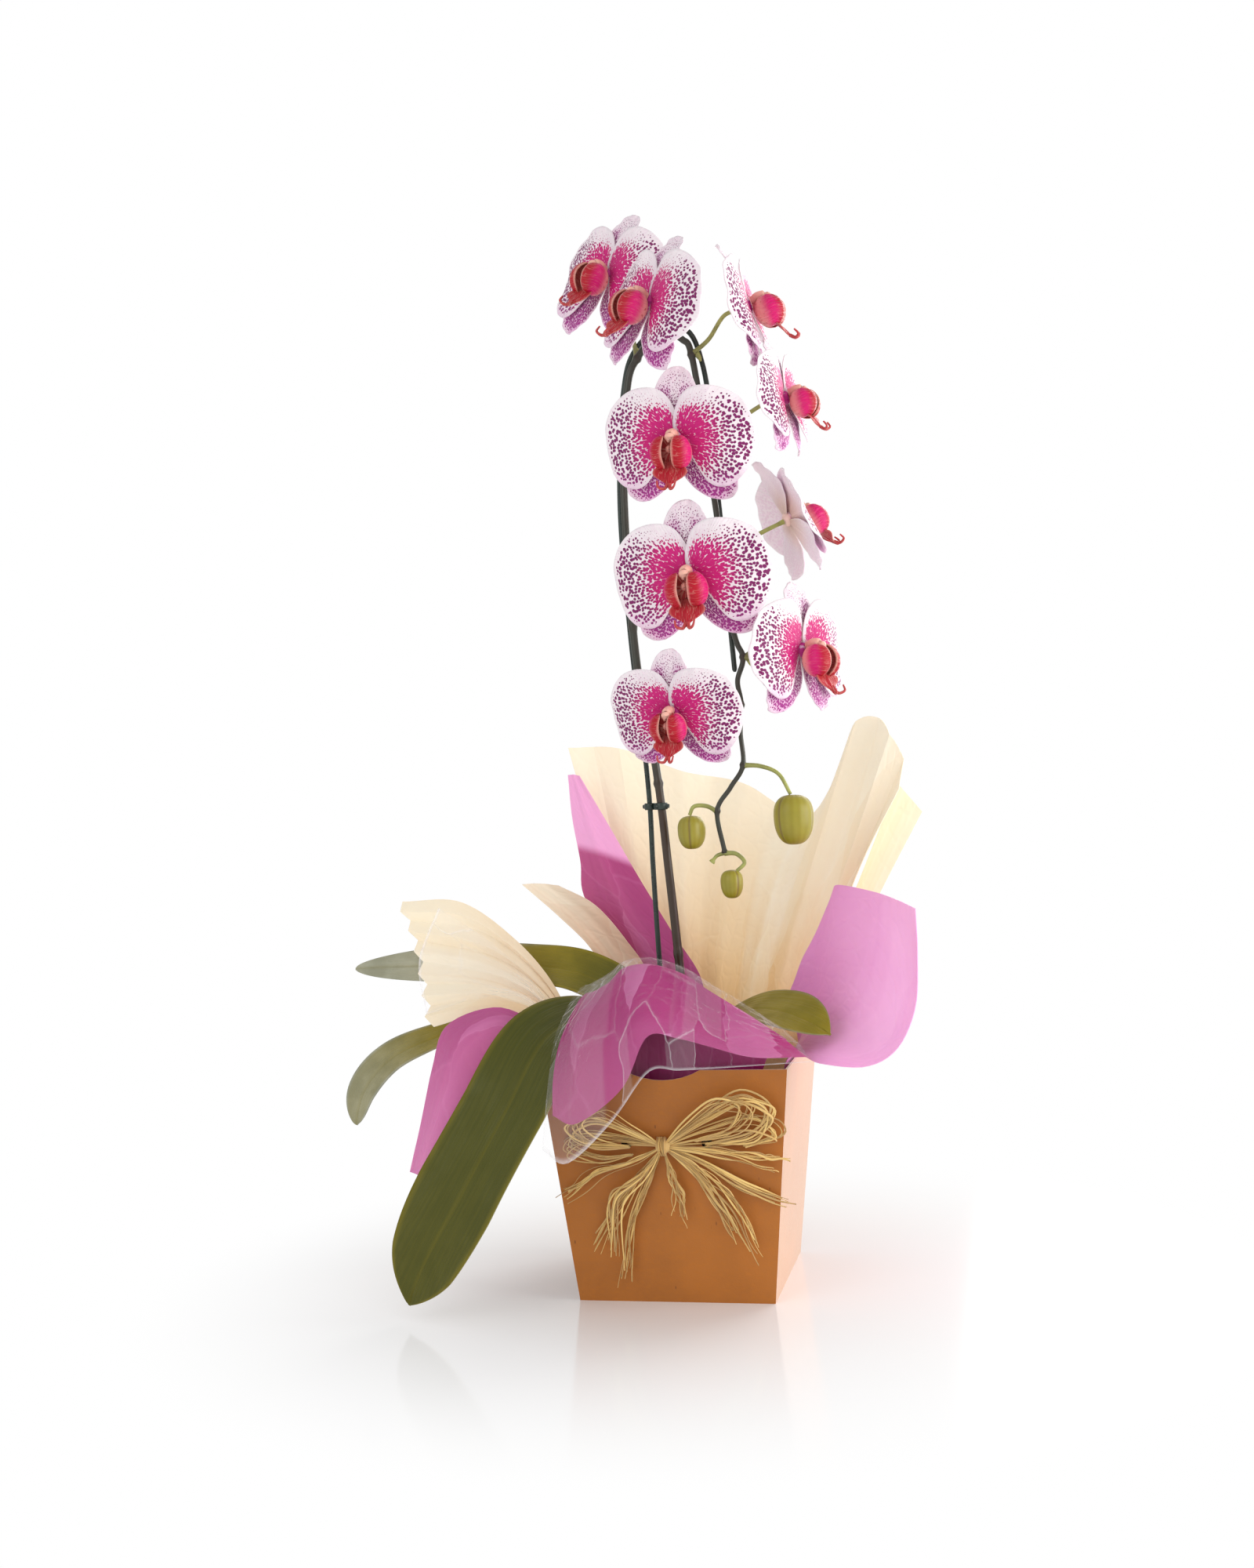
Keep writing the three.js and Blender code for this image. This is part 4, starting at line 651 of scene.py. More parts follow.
def bloom_lip():
    """The lip: claw, column with its cap, two cupped side lobes, a bump between them, and an anchor-shaped
    middle lobe that ends in two curling tendrils."""
    front = HUB_FRONT + 0.3
    share = steps(26)
    column = tube(spline([(0, 2.6, front), (0, 2.6, front + 2), (0, 3.4, 8), (0, 2.6, 13)], share),
                  2.6 + 0.9 * share - 1.4 * ramp(share, 0.93, 1), sides=18, masks=(0.1, 0.9, 1))
    cap = ball((0, 1.8, 14.2), (3.1, 2.7, 2.6), 0, 0.95, 1)
    beak = ball((0, 0.1, 16.2), (1.1, 1.5, 1.0), 0.3, 0.8, 1)
    bump = ball((0, -5.4, 14.5), (2.5, 2.6, 4.2), 0.9, 0.45, 1)
    throat = ball((0, -6.2, 9.3), (8.2, 8.8, 3.4), 0.9, 0.1, 1)
    claw = tube(spline([(0, -2, front), (0, -2.4, 7), (0, -3.5, 11)], steps(10)), 2.9, sides=14,
                masks=(0.5, 0.3, 0.5))
    u, v = grid(steps(34), np.linspace(-1, 1, 25))
    across = v * (1.6 + 9.5 * np.sin(np.pi * np.minimum(1, u + 0.1)) ** 1.3)
    keel = 0.9 * bell(v, 0.16) * np.sin(np.pi * u)
    curl = 1.2 * ramp(np.abs(v), 0.6, 1) * np.sin(np.pi * u)
    middle = stacked(across, -13 - 15 * u, 12 + 9 * u + 0.02 * across**2 + keel - curl)
    tone = (0.7, 0.12 * ramp(u, 0.5, 0), 1, 0.4 * ramp(np.abs(v), 0.85, 1))
    rows = stacked(across * 0.9, u * 14)
    anchor = outward(blade(middle, blend(0.6, 1.3, 1 - np.abs(v)), rows, tone, tone))
    parts = [column, cap, beak, bump, throat, claw, cupped_lobe(-1), cupped_lobe(1), anchor]
    for side in (-1, 1):
        tendril = [(side * 0.7, -26, 20), (side * 2, -28.5, 23), (side * 5, -27, 25.5), (side * 6, -23.5, 24)]
        along = steps(30)
        parts.append(tube(spline(tendril, along), blend(1.2, 0.55, along), sides=8, masks=(0.35, 0.1, 1)))
    return joined(parts)


def bloom_pose(bloom):
    """From a bloom's own frame to the whole plant's: size, roll, tilt of the face, turn, then the hub."""
    centre, turn, tilt, roll, size, _ = bloom
    pose = Matrix.Translation(centre) @ Matrix.Rotation(np.radians(turn), 4, "Z")
    pose = pose @ Matrix.Rotation(np.radians(90 - tilt), 4, "X") @ Matrix.Rotation(np.radians(-roll), 4, "Z")
    return np.array(pose @ Matrix.Scale(size, 4))


def on_spike(place):
    """The nearest of many points on the spike's centre line."""
    line = spline(SPIKE_PATH, steps(SEARCH_STEPS), even=True)
    return line[np.argmin(np.linalg.norm(line - np.asarray(place, float), axis=-1))]


def bloom_stalk(bloom):
    """The path of a stalk from the spike to just behind a bloom's hub."""
    pose = bloom_pose(bloom)
    *_, size, root = bloom
    start = on_spike(root)
    end = pose[:3, :3] @ (0, 0, HUB_BACK - 0.3 / size) + pose[:3, 3]
    before = pose[:3, :3] @ (0, 0, HUB_BACK - 10) + pose[:3, 3]
    return spline([start, (start + before) / 2 + (0, 0, -3), before, end], steps(STALK_STEPS))


def stem_surface():
    """Crown, spike with a swollen ring at each of its nodes, every stalk, and the small scale leaf under each
    bloom's stalk."""
    share = steps(SPIKE_STEPS)
    path = spline(SPIKE_PATH, share, even=True)
    rings = [bloom[-1] for bloom in BLOOMS] + [bud[-1][0] for bud in BUDS] + BARE_NODES
    places = np.array([on_spike(ring) for ring in rings])
    gap = np.linalg.norm(path[:, None] - places[None], axis=-1).min(axis=1)
    radius = SPIKE_BASE + (SPIKE_TIP - SPIKE_BASE) * np.minimum(1, share * 1.25) + 0.75 * bell(gap, 1.6)
    green = np.where(share < 0.5, 0.5 * ramp(path[:, 2], 290, 340), 0.5)
    parts = [tube(path, radius, sides=14, masks=(green, bell(gap, 1.2)))]
    grow, along = steps(12), steps(STALK_STEPS)
    for stalk in [bloom_stalk(bloom) for bloom in BLOOMS]:
        at = int(np.clip(np.argmin(np.linalg.norm(path - stalk[0], axis=-1)), 3, SPIKE_STEPS - 4))
        ahead = unit(path[at + 3] - path[at - 3])
        away = stalk[5] - stalk[0]
        away = unit(away - ahead * np.dot(away, ahead))
        scale = [path[at] + ahead * forth + away * (radius[at] + off) for forth, off in
                 ((-2, -0.9), (0, 0.2), (3, 1.6), (6, 2.2))]
        parts.append(tube(spline(scale, grow), 2.1 * np.sqrt(1.02 - grow**2), sides=8, thin=0.5,
                          masks=(blend(0.7, 0.95, grow),)))
        wide = blend(1.5, 1.25, along) + 0.5 * bell(along, 0.08) + 0.35 * ramp(along, 0.8, 1)
        parts.append(tube(stalk, wide, sides=10, masks=(blend(0.75, 1.0, along),)))
    for points in [bud[-1] for bud in BUDS] + [NUB]:
        wide = blend(1.5, 1.15, along) + 0.4 * bell(along, 0.08)
        if points is NUB:
            wide = blend(1.3, 1.0, along) + 0.9 * ramp(along, 0.75, 0.95)
        parts.append(tube(spline(points, along), wide, sides=10, masks=(blend(0.8, 1.0, along),)))
    height = np.linspace(*CROWN, 24)
    wide = 9 - 3 * ramp(height, CROWN[1] - 14, CROWN[1]) - 3 * ramp(height, CROWN[1] - 4, CROWN[1])
    parts.append(tube(stacked(0.0, 0.0, height), wide, sides=20, masks=(0.75,)))
    return joined(parts)


def stake_surface():
    """The coated wire, round in section, with rounded ends."""
    share = steps(STAKE_STEPS)
    ends = np.minimum(1, np.minimum(share, 1 - share) * 260 + 0.25)
    return tube(spline(STAKE_PATH, share), STAKE_RADIUS * np.sqrt(ends), sides=12)


def clip_surface():
    """Two bands, round the spike and the stake, the waist that joins them and three small grips."""
    bands = [torus((x, y, CLIP_Z), ring, *CLIP_BAND) for (x, y), ring in CLIP_RINGS]
    near, far = (np.array([*place, CLIP_Z]) for place, _ in CLIP_RINGS)
    step = unit(far - near)
    waist = tube(np.linspace(near + step * 4, far - step * 3, 6), 1.1, sides=10, thin=1.9)
    side = np.array([-step[1], step[0], 0])
    parts = bands + [waist]
    for base, out in ((near - step * 4, -step), (far + step * 3, step), (near + side * 3.9, side)):
        path = np.linspace(base, base + out * 2.4, 8)
        parts.append(tube(path, np.linspace(1.2, 0.7, 8), sides=8, thin=1.3))
    return joined(parts)


def bud_surface(centre, radius, half, seed):
    """A blunt bud: a globe whose section swells early, with three sunken seams and faint ribs between."""

    def point(turn, fall):
        plump = np.sin(fall) ** 0.72 * (1 + 0.1 * np.cos(fall))
        seam = np.cos(1.5 * (turn - seed)) ** 2
        ribs = 0.006 * np.cos(15 * turn + seed)
        pinch = 1 - 0.055 * np.exp(-seam / 0.03) * np.sin(fall) - ribs * np.sin(fall)
        bulge = 1 + 0.03 * np.cos(3 * (turn - seed) + np.pi)
        reach = radius * np.clip(plump, 0, None) * pinch * bulge * 0.985
        return around(centre, reach, turn, half * np.sign(np.cos(fall)) * np.abs(np.cos(fall)) ** 0.85)

    def tone(turn, fall):
        seam = np.exp(-np.cos(1.5 * (turn - seed)) ** 2 / 0.012)
        return seam, 0.5 + 0.5 * np.cos(15 * turn + seed), ramp(fall, 0.7, 0.1)

    return globe(point, columns=96, rows=36, masks=tone)


def leaf_surface(half, widest, point, faces, rib):
    """A leaf blade along its midrib: its width swells as a sine up to the widest place and falls as a round
    tip after it, it is channelled by the square of the distance from the midrib, and its rim is thin."""
    u = 1 - (1 - steps(LEAF_STEPS[0])) ** 1.5
    centre = spline(rib, u)
    fine = steps(RIB_STEPS)
    line = np.gradient(spline(rib, fine), axis=0)
    along = unit(stacked(*(np.interp(u, fine, one) for one in line.T)))
    early, late = np.asarray(faces, float)
    across = unit(np.cross(along, unit(early + (late - early) * (u * u)[:, None])))
    out = unit(np.cross(across, along))
    inner = 0.26 + 0.74 * np.sin(np.minimum(1, u / widest) * np.pi / 2) ** 1.3
    outer = np.clip(1 - np.maximum(0, (u - widest) / (1 - widest)) ** 2.2, 0, 1) ** point
    width = np.maximum(half * inner * outer, 0.8)[:, None]
    side = np.linspace(-1, 1, LEAF_STEPS[1])
    off = side * width
    length = strides(centre).sum()
    u = u[:, None]
    wave = 0.5 * np.sin(u * length / 16) * side**2 * (width / half)
    lift = 0.16 * width * side**2 + wave - 0.9 * bell(off, 1.3)
    middle = centre[:, None] + across[:, None] * off[..., None] + out[:, None] * lift[..., None]
    thickness = 0.7 + 1.1 * (1 - side**4) + 0.6 * bell(off, 2)
    thickness = thickness * ramp(1 - u, -0.02, 0.04).clip(0.35, 1)
    edge, ribbed = ramp(np.abs(side), 0.86, 1), bell(off, 1.4)
    rows = stacked(off, u * length)
    surface = blade(middle, thickness, rows, (edge, ribbed, 1, u), (edge, ribbed, 0, u))
    # The blade's own normal may face under the leaf: then its two faces change places.
    normal = np.cross(middle[1, 1] - middle[0, 1], middle[0, 2] - middle[0, 1])
    if np.dot(normal, out[0]) < 0:
        surface.masks = np.roll(surface.masks, thickness.size, axis=0)
    return outward(surface)


# Shapes of the dressing


def wrinkles(u, v, seed):
    """The mean of slanted straight creases: each is a triangle wave along its own direction."""
    random = np.random.default_rng(seed)
    total = np.zeros(u.shape)
    for _ in range(CREASES):
        angle = random.uniform(0, np.pi)
        place = (u * np.cos(angle) + v * np.sin(angle)) * random.uniform(1.2, 4) + random.uniform(0, 1)
        total += (np.abs((place % 1) - 0.5) * 2 - 0.5) * random.uniform(0.3, 1)
    return total / CREASES


def sheet_surface(rails, folds, pleat, crumple, seed):
    """A smooth sheet through its rails, first along each rail and then across them.

    Its folds are a triangle wave across that opens out from the tucked edge, and its wrinkles grow the same
    way.
    """
    u, v = steps(folds * FOLD_STEPS + 1), steps(RAIL_STEPS)
    base = spline(np.stack([spline(rail, v, even=True) for rail in rails]), u, even=True)
    side = np.gradient(base, axis=0)
    outward_way = unit(stacked(side[..., 1], -side[..., 0], 0.0))
    zigzag = np.abs((u * folds) % 2 - 1) - 0.5
    open_up = (pleat * zigzag)[:, None] * v
    normal = unit(np.cross(side, np.gradient(base, axis=1)))
    across, up = grid(u, v)
    rough = crumple * wrinkles(across, up, seed) * ramp(up, 0.05, 0.4)
    middle = base + outward_way * open_up[..., None] + normal * rough[..., None]
    length = strides(middle, 1).sum(axis=1).mean()
    width = strides(middle, 0).sum(axis=0).max()
    # Each fold gets a random number in the fourth mask; it sets the fold's painted shade on the papers and the
    # painted reflection of its panes on the film.
    tones = np.random.default_rng(seed + 5).uniform(0, 1, folds + 1)
    place = np.clip(u * folds + 0.25 * np.sin(u * folds * 2 * np.pi), 0, folds)
    masks = (across, up, 0, np.interp(place, np.arange(folds + 1), tones)[:, None])
    return outward(blade(middle, SHEET_THICKNESS, stacked(across * width, up * length), masks, masks))


def on_panel(place):
    """From sideways place, height and distance off the card to a point before the leaning front panel."""
    x, z, off = np.moveaxis(np.asarray(place, float), -1, 0)
    return stacked(x, -(BOX_FOOT + (BOX_TOP - BOX_FOOT) * z / BOX_HEIGHT) / 2 - off, z)


def raffia_surface(ribbons, spread):
    """Flat ribbons of raffia: for every strand several ribbons wander off its path, tapering and twisting.

    Loops swing out most at half their length and keep their width, loose ends wander more towards their end,
    and the ties that go through the card keep to their path.
    """
    random = np.random.default_rng(11)
    parts = []
    share = steps(RIBBON_STEPS)
    for number, strand in enumerate(STRANDS):
        loop = number < LOOPS
        tie = number >= len(STRANDS) - TIES
        for _ in range(RIBBONS_OF_TIE if tie else ribbons):
            points = np.array([KNOT, *strand], float)
            grow = steps(len(points))[:, None]
            shift = random.normal(0, 1, 3) * (spread, spread, 0.7)
            jitter = random.normal(0, 0.35, points.shape) * spread
            if not tie:
                points += (np.sin(np.pi * grow) if loop else grow) * (shift + jitter * (1, 1, 0.3))
            held = points[:-1] if tie else points
            held[:, 2] = np.clip(held[:, 2], 1.6, 13)
            if not loop and not tie:
                points[-1, :2] += (points[-1, :2] - points[-2, :2]) * random.uniform(-0.25, 0.12)
            path = spline(on_panel(points), share)
            for axis, most in () if tie else ((0, 1.5), (2, 1.3)):
                sway = np.sin(2 * np.pi * (random.uniform(1, 3.2) * share + random.uniform(0, 1)))
                path[:, axis] += random.uniform(0.2, most) * sway * ramp(share, 0.1, 0.5)
            wide = random.uniform(0.35, 0.95) * (1 - 0.5 * ramp(share, 0.7, 1))
            if loop:
                wide = random.uniform(0.35, 0.85)
            twist = random.uniform(0, np.pi) + share * random.uniform(-3, 3)
            tone = random.uniform(0, 1)
            parts.append(tube(path, wide, sides=6, thin=RIBBON_THICKNESS, twist=twist, masks=(tone,)))
    centre = on_panel(KNOT)
    angle = np.linspace(0, 2 * np.pi, 30)
    for _ in range(KNOT_RINGS):
        lean = random.uniform(-0.5, 0.5)
        offset = random.uniform(-2.2, 2.2)
        ring = stacked(
            centre[0] + offset + lean * 3 * np.sin(angle),
            centre[1] + 4.4 * np.cos(angle),
            centre[2] + 4.6 * np.sin(angle),
        )
        parts.append(tube(ring, 1.2, sides=6, thin=0.35, masks=(random.uniform(0, 1),)))
    return joined(parts + [ball(centre, (4.6, 4.1, 4.3), 0.3)])


# Node building


def add(tree, kind, inputs=None, **settings):
    """One node with its settings; each input, by name or number, is joined to a socket or given a value."""
    node = tree.nodes.new(kind)
    for name, value in settings.items():
        setattr(node, name, value)
    for key, value in (inputs or {}).items():
        if isinstance(value, bpy.types.NodeSocket):
            tree.links.new(value, node.inputs[key])
        else:
            node.inputs[key].default_value = value
    return node


def mix(tree, share, low, high):
    """Colour that goes from low to high with the share; each of them is a socket or three numbers."""
    low, high = (one if isinstance(one, bpy.types.NodeSocket) else (*one, 1.0) for one in (low, high))
    return add(tree, "ShaderNodeMix", {0: share, 6: low, 7: high}, data_type="RGBA").outputs[2]


def math(tree, operation, *values):
    """One sum on numbers."""
    return add(tree, "ShaderNodeMath", dict(enumerate(values)), operation=operation).outputs[0]


def times(tree, first, second):
    """Two numbers multiplied."""
    return math(tree, "MULTIPLY", first, second)


def shares(tree, first, part, second, rest):
    """The first number times its part, and the second times the rest, added up."""
    return math(tree, "MULTIPLY_ADD", first, part, times(tree, second, rest))


def remap(tree, value, low, high, to_low=0.0, to_high=1.0):
    """The value moved from one range to another, smoothly, and kept inside it."""
    inputs = {"Value": value, "From Min": low, "From Max": high, "To Min": to_low, "To Max": to_high}
    return add(tree, "ShaderNodeMapRange", inputs, interpolation_type="SMOOTHSTEP").outputs[0]


def noise(tree, place, scale, detail=3.0, dimensions="3D", output=0):
    """Cloudy value about one half, or with output 1 a cloudy vector."""
    inputs = {"Vector": place, "Scale": scale, "Detail": detail}
    return add(tree, "ShaderNodeTexNoise", inputs, noise_dimensions=dimensions).outputs[output]


def cells(tree, place, scale, randomness=1.0, **settings):
    """The distance and the chance colour of cells strewn at this scale."""
    inputs = {"Vector": place, "Scale": scale, "Randomness": randomness}
    return add(tree, "ShaderNodeTexVoronoi", inputs, **settings).outputs


def stretched(tree, place, scale):
    """The place with each axis scaled."""
    return add(tree, "ShaderNodeVectorMath", {0: place, 1: scale}, operation="MULTIPLY").outputs[0]


def swayed(tree, place, scale, reach):
    """The place pushed about by a cloud, by up to the reach on its first two axes."""
    inputs = {0: noise(tree, place, scale, 2.0, "2D", 1), 1: (reach, reach, 0.0), 2: place}
    return add(tree, "ShaderNodeVectorMath", inputs, operation="MULTIPLY_ADD").outputs[0]


def channels(tree, colour):
    """The three channels of a colour."""
    return add(tree, "ShaderNodeSeparateColor", {0: colour}).outputs


def washed(tree, body, mask, amount, colour):
    """The body colour with another laid over it, by the mask times the amount."""
    return mix(tree, times(tree, mask, amount), body, colour)


def shade(colour, factor):
    """A colour made lighter or darker, kept within range."""
    return tuple(min(1.0, part * factor) for part in colour)


def new_group(name, vector, numbers, results):
    """A node group with named sockets and its own inputs, which are None if the group was built before."""
    if name in bpy.data.node_groups:
        return bpy.data.node_groups[name], None
    group = bpy.data.node_groups.new(name, "ShaderNodeTree")
    group.interface.new_socket(vector, in_out="INPUT", socket_type="NodeSocketVector")
    for way, labels in (("INPUT", numbers), ("OUTPUT", results)):
        for label in labels:
            group.interface.new_socket(label, in_out=way, socket_type="NodeSocketFloat")
    return group, add(group, "NodeGroupInput").outputs


def use(tree, group, **inputs):
    """The outputs of a node that stands for a group."""
    return add(tree, "ShaderNodeGroup", inputs, node_tree=group).outputs


def grained(tree, place, broad, fine):
    """Mottle and fine grain: broad cloud, and a height that adds fine cloud to it."""
    group, given = new_group("Mottle and grain", "Place", ("Broad", "Fine"), ("Cloud", "Height"))
    if given:
        cloud = noise(group, given["Place"], given["Broad"], 4.0)
        dust = noise(group, given["Place"], given["Fine"], 2.0)
        add(group, "NodeGroupOutput", {"Cloud": remap(group, cloud, 0.32, 0.68),
                                       "Height": shares(group, cloud, 0.6, dust, 0.4)})
    return use(tree, group, Place=place, Broad=broad, Fine=fine)


def streaked(tree, rows, scale):
    """Streaks along the second row direction: cloud drawn out that way, with sharper lines inside it."""
    group, given = new_group("Streaks", "Rows", ("Scale",), ("Streak", "Line"))
    if given:
        cloud = noise(group, stretched(group, given["Rows"], (1.0, 0.045, 1.0)), given["Scale"], 3.0, "2D")
        line = math(group, "ABSOLUTE", math(group, "SUBTRACT", cloud, 0.5))
        add(group, "NodeGroupOutput", {"Streak": remap(group, cloud, 0.3, 0.7),
                                       "Line": remap(group, line, 0.035, 0.0)})
    return use(tree, group, Rows=rows, Scale=scale)


def crinkled(tree, rows, size):
    """Crumpled sheet: facets whose borders are sharp creases, at two sizes."""
    group, given = new_group("Crinkles", "Rows", ("Size",), ("Height", "Crease", "Facet"))
    if given:
        scale = math(group, "DIVIDE", 1.0, given["Size"])
        warped = swayed(group, given["Rows"], 0.05, 9.0)
        long = stretched(group, warped, (1.0, 0.4, 1.0))
        border = dict(voronoi_dimensions="2D", feature="DISTANCE_TO_EDGE")
        facet = cells(group, long, scale, voronoi_dimensions="2D")
        crease = cells(group, long, scale, **border)[0]
        small = remap(group, cells(group, warped, times(group, scale, 3.1), **border)[0], 0.0, 0.25)
        add(group, "NodeGroupOutput", {"Height": shares(group, facet[0], 0.8, small, 0.12),
                                       "Crease": remap(group, crease, 0.035, 0.0),
                                       "Facet": channels(group, facet[1])[0]})
    return use(tree, group, Rows=rows, Size=size)


def blank(name, **sockets):
    """A material and its nodes: the sockets given are set on its shader."""
    material = bpy.data.materials.new(name)
    material.use_nodes = True
    for key, value in sockets.items():
        material.node_tree.nodes[SHADER].inputs[key.replace("_", " ")].default_value = value
    return material, material.node_tree


def finished(material, colour, roughness=None, height=None, depth=0.0002, strength=1.0):
    """The material with colour, roughness and bump height joined to its shader."""
    tree = material.node_tree
    shader = tree.nodes[SHADER]
    tree.links.new(colour, shader.inputs["Base Color"])
    if roughness is not None:
        tree.links.new(roughness, shader.inputs["Roughness"])
    bump = add(tree, "ShaderNodeBump", {"Strength": strength, "Distance": depth, "Height": height})
    tree.links.new(bump.outputs[0], shader.inputs["Normal"])
    return material


def mask_sockets(tree):
    """The four masks of a piece, in order."""
    node = add(tree, "ShaderNodeAttribute", attribute_name="masks")
    return *channels(tree, node.outputs["Color"]), node.outputs["Alpha"]


def row_socket(tree):
    """The piece's own places along and across."""
    return add(tree, "ShaderNodeUVMap", uv_map="rows").outputs[0]


def object_socket(tree):
    """The place in the object's own axes, in metres."""
    return add(tree, "ShaderNodeTexCoord").outputs["Object"]


# Materials


def card_material(colours):
    """Kraft card: warm brown with broad mottle, pressed fibres and sparse dark flecks."""
    material, tree = blank("kraft card", Roughness=0.6, Specular_IOR_Level=0.5, Sheen_Weight=1.0,
                           Sheen_Roughness=0.3, Sheen_Tint=(1.0, 0.98, 0.88, 1.0))
    place = object_socket(tree)
    grain = grained(tree, place, 22.0, 900.0)
    fibre = noise(tree, stretched(tree, place, (260.0, 260.0, 480.0)), 1.0, 4.0)
    fleck = cells(tree, stretched(tree, place, (1.0, 1.0, 0.45)), 330.0)
    chance = channels(tree, fleck[1])[0]
    dark = times(tree, remap(tree, fleck[0], 0.24, 0.1), remap(tree, chance, 0.9, 0.97))
    body = mix(tree, grain["Cloud"], shade(colours.kraft, 0.9), shade(colours.kraft, 1.08))
    body = washed(tree, body, remap(tree, fibre, 0.45, 0.75), 0.2, shade(colours.kraft, 1.3))
    body = washed(tree, body, dark, 0.6, shade(colours.kraft, 0.3))
    return finished(material, body, remap(tree, fibre, 0.3, 0.8, 0.52, 0.66), grain["Height"])


def plastic_material(name, colour, light, scales, gloss):
    """Dark moulded plastic with a faint cloud of scuffs and dust; gloss is its roughness from low to high."""
    material, tree = blank(name)
    grain = grained(tree, object_socket(tree), *scales)
    body = mix(tree, grain["Cloud"], colour, shade(colour, light))
    return finished(material, body, remap(tree, grain["Cloud"], 0, 1, *gloss), grain["Height"], 0.0001)


def bark_material(colours):
    """Chips of bark: cells of differing browns with fibres along them, and painted shade in the gaps between
    them.
    """
    material, tree = blank("bark", Roughness=0.95, Specular_IOR_Level=0.2)
    place = object_socket(tree)
    chip = cells(tree, place, 85.0)
    fibre = noise(tree, stretched(tree, place, (220.0, 900.0, 400.0)), 1.0, 3.0)
    body = mix(tree, channels(tree, chip[1])[0], shade(colours.bark, 0.6), shade(colours.bark, 1.6))
    # Painted shade in the gaps between the chips.
    body = washed(tree, body, remap(tree, chip[0], 0.35, 0.7), 0.8, shade(colours.bark, 0.15))
    body = washed(tree, body, fibre, 0.5, shade(colours.bark, 0.8))
    return finished(material, body, None, math(tree, "SUBTRACT", times(tree, fibre, 0.4), chip[0]), 0.003)


def petal_material(colours):
    """Pale petal with spots that are set out round the hub, denser and redder towards it; the back is paler,
    partly its own colour and partly painted light, with a peach base. The cover mask sets how big the spots
    grow, from none at the rim to all joined."""
    material, tree = blank("petal", Roughness=0.5, Subsurface_Weight=0.25, Subsurface_Scale=0.0012,
                           Subsurface_Radius=(1.0, 0.85, 0.9), Specular_IOR_Level=0.3)
    cover, wash, front, heart = mask_sockets(tree)
    rows = row_socket(tree)
    spot = cells(tree, swayed(tree, rows, 0.55, 0.6), 1 / colours.spot_size, 0.85, voronoi_dimensions="2D")
    chance = channels(tree, spot[1])
    inside = math(tree, "SUBTRACT", shares(tree, cover, 0.8, chance[0], -0.09), spot[0])
    spots = times(tree, remap(tree, inside, -0.06, 0.07), remap(tree, cover, 0.02, 0.12))
    veins = streaked(tree, rows, 1.6)
    ground = mix(tree, wash, colours.petal, colours.petal_wash)
    ground = washed(tree, ground, veins["Line"], 0.22, colours.petal_wash)
    ink = mix(tree, heart, colours.spot, colours.heart)
    ink = mix(tree, shares(tree, wash, 0.85, chance[1], 0.1), ink, colours.violet)
    face = mix(tree, spots, ground, ink)
    # The back's ground is the petal colour made a tenth lighter: painted light, for light shining through the
    # petal.
    reverse = washed(tree, shade(colours.petal, 1.1), veins["Streak"], 0.1, shade(colours.petal_wash, 1.25))
    reverse = washed(tree, reverse, heart, 0.8, colours.petal_back)
    reverse = washed(tree, reverse, spots, 0.1, colours.violet)
    grain = noise(tree, rows, 2.6, 3.0, "2D")
    return finished(material, mix(tree, front, reverse, face), remap(tree, grain, 0.3, 0.7, 0.38, 0.52),
                    shares(tree, veins["Streak"], 0.7, grain, 0.3), 0.0003)


def lip_material(colours):
    """Crimson lip: hot pink outside, red inside with pale veins, peach where the second mask is high."""
    material, tree = blank("lip", Roughness=0.36, Subsurface_Weight=0.08, Subsurface_Scale=0.002,
                           Specular_IOR_Level=0.3)
    vein, pale, inner, edge = mask_sockets(tree)
    rows = row_socket(tree)
    lines = streaked(tree, stretched(tree, rows, (0.9, 2.5, 1.0)), 0.75)
    body = mix(tree, inner, colours.lip_outer, colours.lip)
    body = washed(tree, body, lines["Line"], times(tree, vein, 0.5), colours.lip_pale)
    body = mix(tree, pale, body, colours.lip_pale)
    blotch = remap(tree, noise(tree, rows, 0.5, 3.0, "2D"), 0.55, 0.7)
    body = washed(tree, body, blotch, times(tree, pale, 0.75), colours.lip)
    body = washed(tree, body, edge, 0.7, colours.lip_pale)
    return finished(material, body, remap(tree, lines["Streak"], 0, 1, 0.3, 0.46), lines["Streak"], 0.0003)


def stem_material(colours):
    """Spike and stalks: brown low down, grey-green higher, yellow-green on the stalks, dark at the nodes."""
    material, tree = blank("stem", Roughness=0.32)
    green, ring, *_ = mask_sockets(tree)
    grain = grained(tree, object_socket(tree), 160.0, 1400.0)
    low = mix(tree, remap(tree, green, 0.0, 0.5), colours.stem_low, colours.stem)
    body = mix(tree, remap(tree, green, 0.5, 1.0), low, colours.stalk)
    body = washed(tree, body, grain["Cloud"], 0.3, shade(colours.stem_low, 0.7))
    body = washed(tree, body, ring, 0.6, shade(colours.stem_low, 0.6))
    return finished(material, body, None, grain["Height"])


def bud_material(colours):
    """Bud: yellow-green with paler ribs, brown seams and a faint blush."""
    material, tree = blank("bud", Roughness=0.42, Subsurface_Weight=0.1, Subsurface_Scale=0.003)
    seam, rib, tip, _ = mask_sockets(tree)
    grain = grained(tree, object_socket(tree), 90.0, 1300.0)
    body = washed(tree, colours.bud, rib, 0.3, colours.bud_rib)
    body = washed(tree, body, grain["Cloud"], 0.35, shade(colours.bud, 0.7))
    body = washed(tree, body, tip, 0.25, shade(colours.bud_seam, 1.6))
    body = washed(tree, body, seam, 0.75, colours.bud_seam)
    return finished(material, body, None, shares(tree, rib, 0.3, grain["Height"], 0.5))


